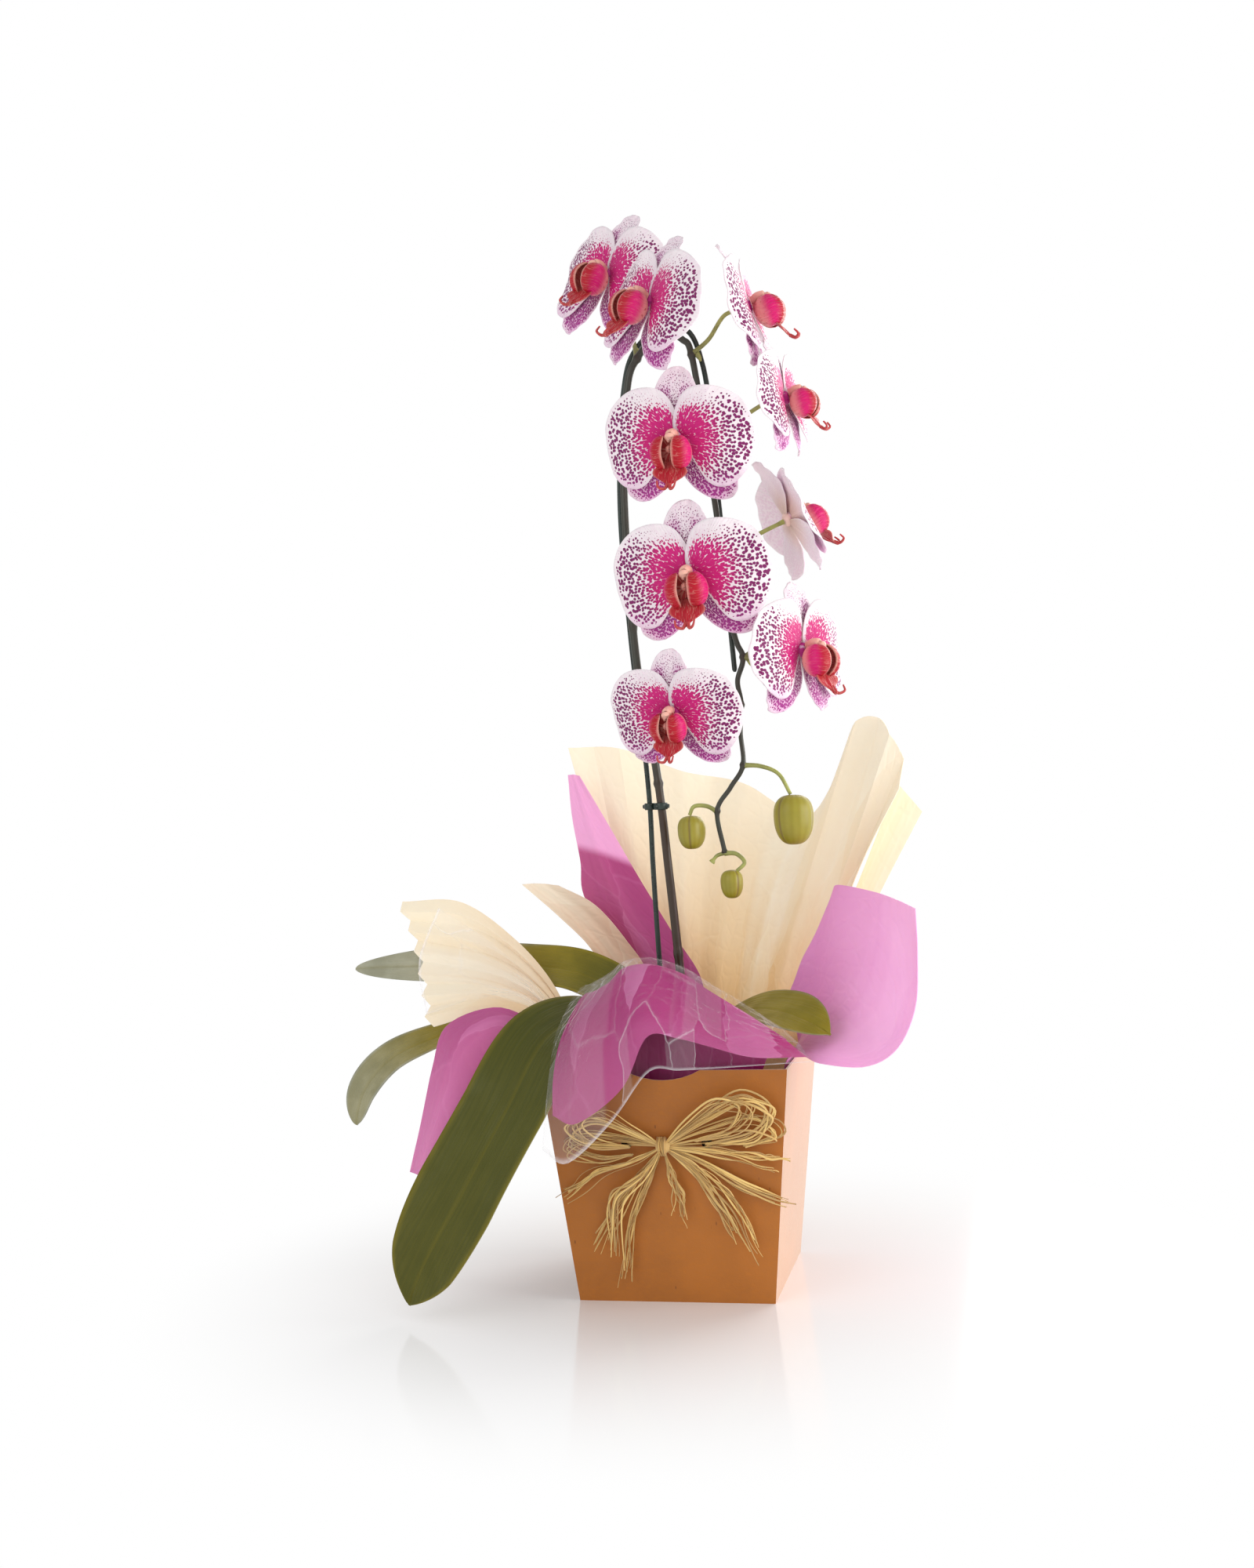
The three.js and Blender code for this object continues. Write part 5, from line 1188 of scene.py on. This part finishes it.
def leaf_material(colours):
    """Leaf: deep green above, paler below, fine parallel veins, a paler midrib and a lighter tip, which on the
    two left leaves is painted light for the sheen of clear film and back light over it.
    """
    material, tree = blank("leaf", Roughness=0.42, Specular_IOR_Level=0.25)
    tone, rib, upper, _ = mask_sockets(tree)
    rows = row_socket(tree)
    veins = streaked(tree, rows, 0.55)
    grain = grained(tree, rows, 0.06, 1.2)
    body = mix(tree, remap(tree, tone, 0.0, 0.5), colours.leaf, colours.leaf_young)
    body = mix(tree, remap(tree, tone, 0.5, 1.0), body, colours.leaf_pale)
    body = washed(tree, body, grain["Cloud"], 0.25, shade(colours.leaf, 0.8))
    body = washed(tree, body, veins["Streak"], 0.06, colours.leaf_young)
    body = washed(tree, body, rib, 0.14, shade(colours.leaf_young, 1.1))
    under = mix(tree, 0.45, body, shade(colours.leaf_pale, 1.1))
    return finished(material, mix(tree, upper, under, body), remap(tree, grain["Cloud"], 0, 1, 0.36, 0.5),
                    shares(tree, veins["Streak"], 0.6, grain["Height"], 0.4), 0.0003)


def paper_material(name, tints, gloss, facets, shadow, glow):
    """Thin wrapping paper that lets some light through, with light and shade painted on: its wide facets
    between soft creases get painted light and painted shade, each fold a painted shade of its own and the
    creases painted highlights; painted shade deepens it towards its tucked edge and where it turns from the
    light, and painted light lightens it where it catches the light."""
    # The deep tint is the paper's painted shade and the light tint its painted light.
    main, deep, light = tints
    material, tree = blank(name, Roughness=gloss, Subsurface_Weight=0.3, Subsurface_Scale=0.003,
                           Subsurface_Radius=(1.0, 0.85, 0.7), Specular_IOR_Level=0.22)
    across, up, _, band = mask_sockets(tree)
    rows = row_socket(tree)
    crinkle = crinkled(tree, rows, 34.0)
    facet = crinkle["Facet"]
    # Facets get painted light and painted shade.
    body = mix(tree, remap(tree, facet, 0.5, 1.0, 0.0, facets), main, light)
    body = mix(tree, remap(tree, facet, 0.5, 0.0, 0.0, facets), body, deep)
    body = washed(tree, body, grained(tree, rows, 0.025, 2.0)["Cloud"], 0.2, deep)
    # Each fold gets painted shade of its own.
    body = washed(tree, body, band, min(0.6, 0.2 + facets), deep)
    # Painted shade towards the tucked edge, down in the box.
    body = mix(tree, remap(tree, up, 0.6, 0.0, 0.0, 0.9), body, deep)
    body = mix(tree, remap(tree, across, shadow[0], shadow[1], 0.0, shadow[2]), body, deep)
    body = mix(tree, remap(tree, up, glow[0], glow[1], 0.0, glow[2]), body, light)
    # Painted highlights along the creases.
    body = washed(tree, body, crinkle["Crease"], 0.06, light)
    rough = remap(tree, facet, 0, 1, gloss - 0.06, gloss + 0.08)
    return finished(material, body, rough, crinkle["Height"], 0.003, 0.3)


def film_material(colours):
    """Clear film: nearly invisible where it faces the eye. Painted reflection makes it whiter where it turns
    away and on some of its panes, and painted highlights whiten the borders of the panes and its cut edge."""
    material, tree = blank("clear film", Roughness=0.06, IOR=1.5, Base_Color=(*colours.film, 1.0),
                           Specular_IOR_Level=1.0)
    shader = tree.nodes[SHADER]
    _, up, _, band = mask_sockets(tree)
    crinkle = crinkled(tree, row_socket(tree), 30.0)
    facet = crinkle["Facet"]
    bump = add(tree, "ShaderNodeBump", {"Strength": 1.0, "Distance": 0.004, "Height": crinkle["Height"]})
    tree.links.new(bump.outputs[0], shader.inputs["Normal"])
    away = add(tree, "ShaderNodeLayerWeight", {"Blend": 0.3, "Normal": bump.outputs[0]}).outputs["Facing"]
    # Painted reflection: the white film shows more where it turns from the eye.
    turned = times(tree, math(tree, "POWER", away, 3.0), 0.42)
    # Painted reflection on some panes, chosen by the number of their fold.
    pane_reflection = remap(tree, times(tree, facet, band), 0.3, 0.38, 0.0, 0.035)
    # Painted highlights along the borders of the panes.
    border = times(tree, crinkle["Crease"], remap(tree, facet, 0.45, 0.95, 0.0, 0.14))
    # Painted highlight along the cut edge.
    edge = times(tree, remap(tree, up, 0.985, 1.0), 0.22)
    # The opacity of the white film is its painted reflections and highlights added up.
    clear = math(tree, "ADD", math(tree, "MAXIMUM", border, edge), math(tree, "ADD", turned, pane_reflection))
    alpha = add(tree, "ShaderNodeMath", {0: clear, 1: colours.film_haze}, operation="ADD", use_clamp=True)
    tree.links.new(alpha.outputs[0], shader.inputs["Alpha"])
    return material


def raffia_material(colours):
    """Dry raffia: straw gold, lighter and darker from ribbon to ribbon, with fibres along it."""
    material, tree = blank("raffia", Roughness=0.6, Sheen_Weight=0.2)
    tone = mask_sockets(tree)[0]
    fibre = noise(tree, stretched(tree, row_socket(tree), (9.0, 0.16, 1.0)), 1.0, 3.0, "2D")
    body = mix(tree, tone, shade(colours.raffia, 0.65), shade(colours.raffia, 1.4))
    body = washed(tree, body, fibre, 0.3, shade(colours.raffia, 0.5))
    return finished(material, body, remap(tree, fibre, 0.3, 0.7, 0.5, 0.7), fibre)


# Settings


def colour_setting(label, about, value):
    """A colour that a user can change, in linear light."""
    return FloatVectorProperty(name=label, description=about, default=value, subtype="COLOR", size=3, min=0,
                               max=1)


class OrchidSettings(bpy.types.PropertyGroup):
    """Sizes and colours of the orchid and its dressing."""

    kraft: colour_setting("Card", "Colour of the card box", (0.43, 0.138, 0.012))
    pot: colour_setting("Pot", "Colour of the nursery pot", (0.012, 0.009, 0.01))
    bark: colour_setting("Bark", "Colour of the bark chips", (0.13, 0.06, 0.03))
    petal: colour_setting("Petal ground", "Colour of a petal between its spots", (0.86, 0.78, 0.81))
    petal_wash: colour_setting("Petal wash", "Tint that is washed over parts of a petal", (0.72, 0.3, 0.6))
    petal_back: colour_setting("Petal back", "Colour of the back of a petal at its base", (0.88, 0.62, 0.46))
    spot: colour_setting("Spots", "Colour of the spots away from the hub", (0.19, 0.006, 0.1))
    violet: colour_setting("Violet", "Colour of the spots where the petal is washed", (0.5, 0.05, 0.36))
    heart: colour_setting("Heart", "Colour where the spots join round the hub", (0.64, 0.002, 0.17))
    lip: colour_setting("Lip inside", "Colour of the inside of the lip", (0.44, 0.002, 0.016))
    lip_outer: colour_setting("Lip outside", "Colour of the outside of the lip", (0.66, 0.005, 0.15))
    lip_pale: colour_setting("Lip veins", "Colour of the pale veins and the column", (0.9, 0.5, 0.4))
    stem_low: colour_setting("Spike foot", "Colour of the low part of the spike", (0.045, 0.024, 0.012))
    stem: colour_setting("Spike", "Colour of the upper part of the spike", (0.034, 0.038, 0.026))
    stalk: colour_setting("Stalks", "Colour of the flower stalks", (0.4, 0.42, 0.11))
    stake: colour_setting("Stake", "Colour of the stake and clip", (0.012, 0.022, 0.017))
    bud: colour_setting("Bud", "Colour of the buds", (0.31, 0.26, 0.018))
    bud_rib: colour_setting("Bud ribs", "Colour of the ribs of a bud", (0.42, 0.37, 0.05))
    bud_seam: colour_setting("Bud seams", "Colour of the seams of a bud", (0.16, 0.09, 0.03))
    leaf: colour_setting("Leaf", "Colour of the leaves", (0.06, 0.066, 0.004))
    # Pale leaf is also the painted light on the tips of the two left leaves.
    leaf_pale: colour_setting("Pale leaf", "Colour of young leaves, undersides and tips", (0.4, 0.4, 0.3))
    leaf_young: colour_setting("Young leaf", "Colour of the young leaf and of the veins", (0.27, 0.21, 0.012))
    magenta: colour_setting("Magenta paper", "Colour of the magenta paper", (0.42, 0.018, 0.175))
    magenta_pale: colour_setting("Pale magenta", "Colour of the sheets that are lit", (1.0, 0.46, 0.78))
    # Painted shade of the cream paper, in its folds and where it turns from the light.
    cream_shade_colour: colour_setting("Deep cream", "Colour of the cream paper in its folds", (0.77, 0.43, 0.17))
    cream: colour_setting("Cream paper", "Colour of the cream paper", (0.95, 0.8, 0.62))
    # The film's colour is the colour of its haze and of the painted reflections and highlights on it.
    film: colour_setting("Film", "Colour of the clear film", (0.95, 0.92, 0.95))
    raffia: colour_setting("Raffia", "Colour of the raffia", (0.84, 0.5, 0.17))
    spot_size: FloatProperty(name="Spot size", description="Distance between spots, as a share of the usual",
                             default=1.0, min=0.5, max=2.0)
    film_haze: FloatProperty(name="Film haze", description="How far flat film hides what is behind it",
                             default=0.008, min=0.0, max=1.0, subtype="FACTOR")
    crumple: FloatProperty(name="Crumple", description="Depth of the wrinkles in the paper and the film, in "
                           "millimetres", default=2.4, min=0.0, max=5.0)
    ribbons: IntProperty(name="Ribbons", description="Ribbons of raffia in each strand of the bow",
                         default=9, min=1, max=14)
    spread: FloatProperty(name="Spread", description="How far the ribbons of a strand wander apart, in "
                          "millimetres", default=3.0, min=0.0, max=8.0)
    key_power: FloatProperty(name="Key light", description="Power that the three lights have a share of",
                             default=20.0, min=0.0, max=200.0, unit="POWER")
    sky: FloatProperty(name="Room light", description="Strength of the even light from all round",
                       default=0.7, min=0.0, max=3.0)


# Operators


class CardBox(bpy.types.Operator):
    """Finishes the card box: a merged copy of its solid with softened edges, in kraft card"""

    bl_idname = "orchid.card_box"
    bl_label = "Card box"

    def execute(self, context):
        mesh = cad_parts["kraft_box"].data.copy()
        mesh.name = "card_box"
        work = bmesh.new()
        work.from_mesh(mesh)
        bmesh.ops.remove_doubles(work, verts=work.verts, dist=1e-6)
        bmesh.ops.dissolve_limit(work, angle_limit=np.radians(1), verts=work.verts, edges=work.edges)
        work.to_mesh(mesh)
        work.free()
        if not mesh.polygons:
            raise RuntimeError("The card box has no faces left after merging.")
        mesh.materials.clear()
        mesh.materials.append(card_material(context.scene.orchid))
        piece = placed("card_box", mesh)
        soften = piece.modifiers.new("soft edges", "BEVEL")
        soften.width = SOFT_EDGE * MM
        soften.segments = 2
        soften.limit_method = "ANGLE"
        tied(piece, "kraft_box")
        return {"FINISHED"}


class PotAndBark(bpy.types.Operator):
    """Gives the nursery pot and its bark their materials"""

    bl_idname = "orchid.pot_and_bark"
    bl_label = "Pot and bark"

    def execute(self, context):
        colours = context.scene.orchid
        plastic = plastic_material("pot plastic", colours.pot, 2.2, (40.0, 700.0), (0.36, 0.55))
        for name, material in (("nursery_pot", plastic), ("bark_mix", bark_material(colours))):
            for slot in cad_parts[name].material_slots:
                slot.link = "OBJECT"
                slot.material = material
        return {"FINISHED"}


class StemAndStake(bpy.types.Operator):
    """Builds the spike with its stalks, the stake and the clip"""

    bl_idname = "orchid.stem_and_stake"
    bl_label = "Stem and stake"

    def execute(self, context):
        colours = context.scene.orchid
        make_piece("flower_spike", stem_surface(), stem_material(colours), "orchid_stem")
        coating = plastic_material("stake coating", colours.stake, 1.7, (120.0, 800.0), (0.24, 0.42))
        make_piece("stake", stake_surface(), coating, "support_stake")
        make_piece("spike_clip", clip_surface(), coating, "stem_clip")
        return {"FINISHED"}


class Blooms(bpy.types.Operator):
    """Builds the nine blooms, each with its petals and sepals and its lip"""

    bl_idname = "orchid.blooms"
    bl_label = "Blooms"

    def execute(self, context):
        colours = context.scene.orchid
        petal, lip = petal_material(colours), lip_material(colours)
        flower, mouth = bloom_flower(), bloom_lip()
        for number, bloom in enumerate(BLOOMS, 1):
            pose = bloom_pose(bloom)
            shape = moved(flower, pose)
            # Each bloom takes its spots from a place of its own.
            shape.rows = shape.rows + (number * 37.0, number * 11.0)
            make_piece(f"flower_{number}", shape, petal, f"bloom_{number}_petals")
            make_piece(f"lip_{number}", moved(mouth, pose), lip, f"bloom_{number}_lip")
        return {"FINISHED"}


class Buds(bpy.types.Operator):
    """Builds the three buds"""

    bl_idname = "orchid.buds"
    bl_label = "Buds"

    def execute(self, context):
        material = bud_material(context.scene.orchid)
        for number, (name, centre, radius, half, _) in enumerate(BUDS):
            surface = bud_surface(centre, radius, half, 0.9 + 0.7 * number)
            make_piece(f"{name}_form", surface, material, name)
        return {"FINISHED"}


class Leaves(bpy.types.Operator):
    """Builds the four leaves"""

    bl_idname = "orchid.leaves"
    bl_label = "Leaves"

    def execute(self, context):
        material = leaf_material(context.scene.orchid)
        for name, half, widest, point, faces, tones, rib in LEAVES:
            surface = leaf_surface(half, widest, point, faces, rib)
            # The tone rises from low down to the tip; on the two left leaves the pale tip is painted light,
            # for the sheen of clear film and back light over it.
            tone = blend(*tones, ramp(surface.masks[:, 3], 0.3, 0.9))
            surface.masks[:, 0] = np.clip(tone + 0.2 * surface.masks[:, 0], 0, 1)
            make_piece(f"{name}_blade", surface, material, name)
        return {"FINISHED"}


class Wraps(bpy.types.Operator):
    """Builds the magenta and cream papers and the clear film"""

    bl_idname = "orchid.wraps"
    bl_label = "Wraps"

    def execute(self, context):
        colours = context.scene.orchid
        film = film_material(colours)
        bright, rich, cream_shade = (np.array(one) for one in
                                (colours.magenta_pale, colours.magenta, colours.cream_shade_colour))
        for seed, (name, kind, folds, pleat, rails) in enumerate(SHEETS):
            material = film
            if kind == "magenta":
                pale, *look = LIT[name]
                main = blend(rich, bright, pale)
                # Main is lightened by painted light as far as the sheet's first number says; the second tint
                # is its painted shade and the third its painted light.
                tints = [main, main * (0.64, 0.42, 0.62), blend(main, bright, 0.85)]
                material = paper_material(f"{name} paper", tints, 0.42, *look)
            elif kind == "cream":
                # The cream's painted shade, tinged with magenta on the roll.
                low = blend(cream_shade, rich, 0.35) if name == "cream_roll" else cream_shade
                # The second tint is the painted shade and the third, the cream made lighter, is the painted
                # light.
                tints = [colours.cream, low, shade(colours.cream, 1.12)]
                material = paper_material(f"{name} paper", tints, 0.5, *LIT[name][1:])
            crumple = colours.crumple * (0.4 if kind == "cream" else 1.0)
            surface = sheet_surface(rails, folds, pleat, crumple, seed)
            make_piece(f"{name}_sheet", surface, material, name, SHARP_FROM)
        return {"FINISHED"}


class Raffia(bpy.types.Operator):
    """Builds the raffia bow from flat ribbons"""

    bl_idname = "orchid.raffia"
    bl_label = "Raffia bow"

    def execute(self, context):
        colours = context.scene.orchid
        surface = raffia_surface(colours.ribbons, colours.spread)
        make_piece("raffia_ribbons", surface, raffia_material(colours), "raffia_bow")
        return {"FINISHED"}


class Stage(bpy.types.Operator):
    """Sets the floor, the lights, the world and the camera"""

    bl_idname = "orchid.stage"
    bl_label = "Stage"

    def execute(self, context):
        colours = context.scene.orchid
        scene = context.scene
        scene.view_settings.view_transform = "Standard"
        scene.view_settings.look = "None"
        mesh = bpy.data.meshes.new("floor")
        corners = [(x * FLOOR_HALF, y * FLOOR_HALF, 0) for x, y in ((-1, -1), (1, -1), (1, 1), (-1, 1))]
        mesh.from_pydata(corners, [], [(0, 1, 2, 3)])
        placed("floor", mesh)
        material, tree = blank("floor", Base_Color=(0.86, 0.85, 0.85, 1), Roughness=0.12,
                               Specular_IOR_Level=0.9)
        away = add(tree, "ShaderNodeVectorMath", {0: object_socket(tree)}, operation="LENGTH")
        far = away.outputs["Value"]
        white = add(tree, "ShaderNodeEmission", {"Color": (1, 1, 1, 1), "Strength": 1.0})
        fade = add(tree, "ShaderNodeMixShader", {0: remap(tree, far, *FLOOR_FADE, 0.05, 1.0),
                                                 1: tree.nodes[SHADER].outputs[0], 2: white.outputs[0]})
        tree.links.new(fade.outputs[0], tree.nodes["Material Output"].inputs["Surface"])
        mesh.materials.append(material)

        world = bpy.data.worlds.new("room")
        world.use_nodes = True
        tree = world.node_tree
        seen = add(tree, "ShaderNodeLightPath").outputs["Is Camera Ray"]
        strength = add(tree, "ShaderNodeMix", {0: seen, 2: colours.sky, 3: 1.0}, data_type="FLOAT").outputs[0]
        background = tree.nodes["Background"]
        background.inputs["Color"].default_value = (1, 1, 1, 1)
        tree.links.new(strength, background.inputs["Strength"])
        scene.world = world

        for name, place, size, part, tint in LIGHTS:
            light = bpy.data.lights.new(name, "AREA")
            light.shape = "SQUARE"
            light.size = size
            light.energy = colours.key_power * part
            light.color = tint
            lamp = placed(name, light)
            lamp.location = place
            lamp.visible_camera = False
            lamp.rotation_euler = (Vector(LOOK_AT) - lamp.location).to_track_quat("-Z", "Y").to_euler()

        camera = placed("camera", bpy.data.cameras.new("camera"))
        turn, yaw, roll = np.radians((EYE_TURN, EYE_TURN + LOOK_ASIDE, ROLL))
        eye = Vector((np.sin(turn) * EYE_DISTANCE, -np.cos(turn) * EYE_DISTANCE, EYE_HEIGHT))
        ahead = Vector((-np.sin(yaw), np.cos(yaw), 0))
        level = Vector((np.cos(yaw), np.sin(yaw), 0))
        upright = Vector((0, 0, 1))
        right = level * np.cos(roll) + upright * np.sin(roll)
        up = upright * np.cos(roll) - level * np.sin(roll)
        camera.matrix_world = Matrix.Translation(eye) @ Matrix((right, up, -ahead)).transposed().to_4x4()
        camera.data.lens = FOCAL
        camera.data.sensor_width = FILM_SIZE
        camera.data.clip_start = 0.01
        scene.camera = camera
        return {"FINISHED"}


STEPS = (CardBox, PotAndBark, StemAndStake, Blooms, Buds, Leaves, Wraps, Raffia, Stage)


class OrchidPanel(bpy.types.Panel):
    """Lists the steps and the settings in the sidebar of the 3D view"""

    bl_idname = "VIEW3D_PT_orchid"
    bl_label = "Moth orchid"
    bl_space_type = "VIEW_3D"
    bl_region_type = "UI"
    bl_category = "Orchid"

    def draw(self, context):
        for step in STEPS:
            self.layout.operator(step.bl_idname)
        for name in OrchidSettings.__annotations__:
            self.layout.prop(context.scene.orchid, name)


def register():
    """Adds the settings, the steps and the panel."""
    for one in (OrchidSettings, *STEPS, OrchidPanel):
        bpy.utils.register_class(one)
    bpy.types.Scene.orchid = PointerProperty(type=OrchidSettings)


def unregister():
    """Takes them away again."""
    del bpy.types.Scene.orchid
    for one in (OrchidPanel, *reversed(STEPS), OrchidSettings):
        bpy.utils.unregister_class(one)


def main():
    """Runs every step in order."""
    register()
    bpy.ops.orchid.card_box()
    bpy.ops.orchid.pot_and_bark()
    bpy.ops.orchid.stem_and_stake()
    bpy.ops.orchid.blooms()
    bpy.ops.orchid.buds()
    bpy.ops.orchid.leaves()
    bpy.ops.orchid.wraps()
    bpy.ops.orchid.raffia()
    bpy.ops.orchid.stage()
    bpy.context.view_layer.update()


if __name__ == "__main__":
    main()
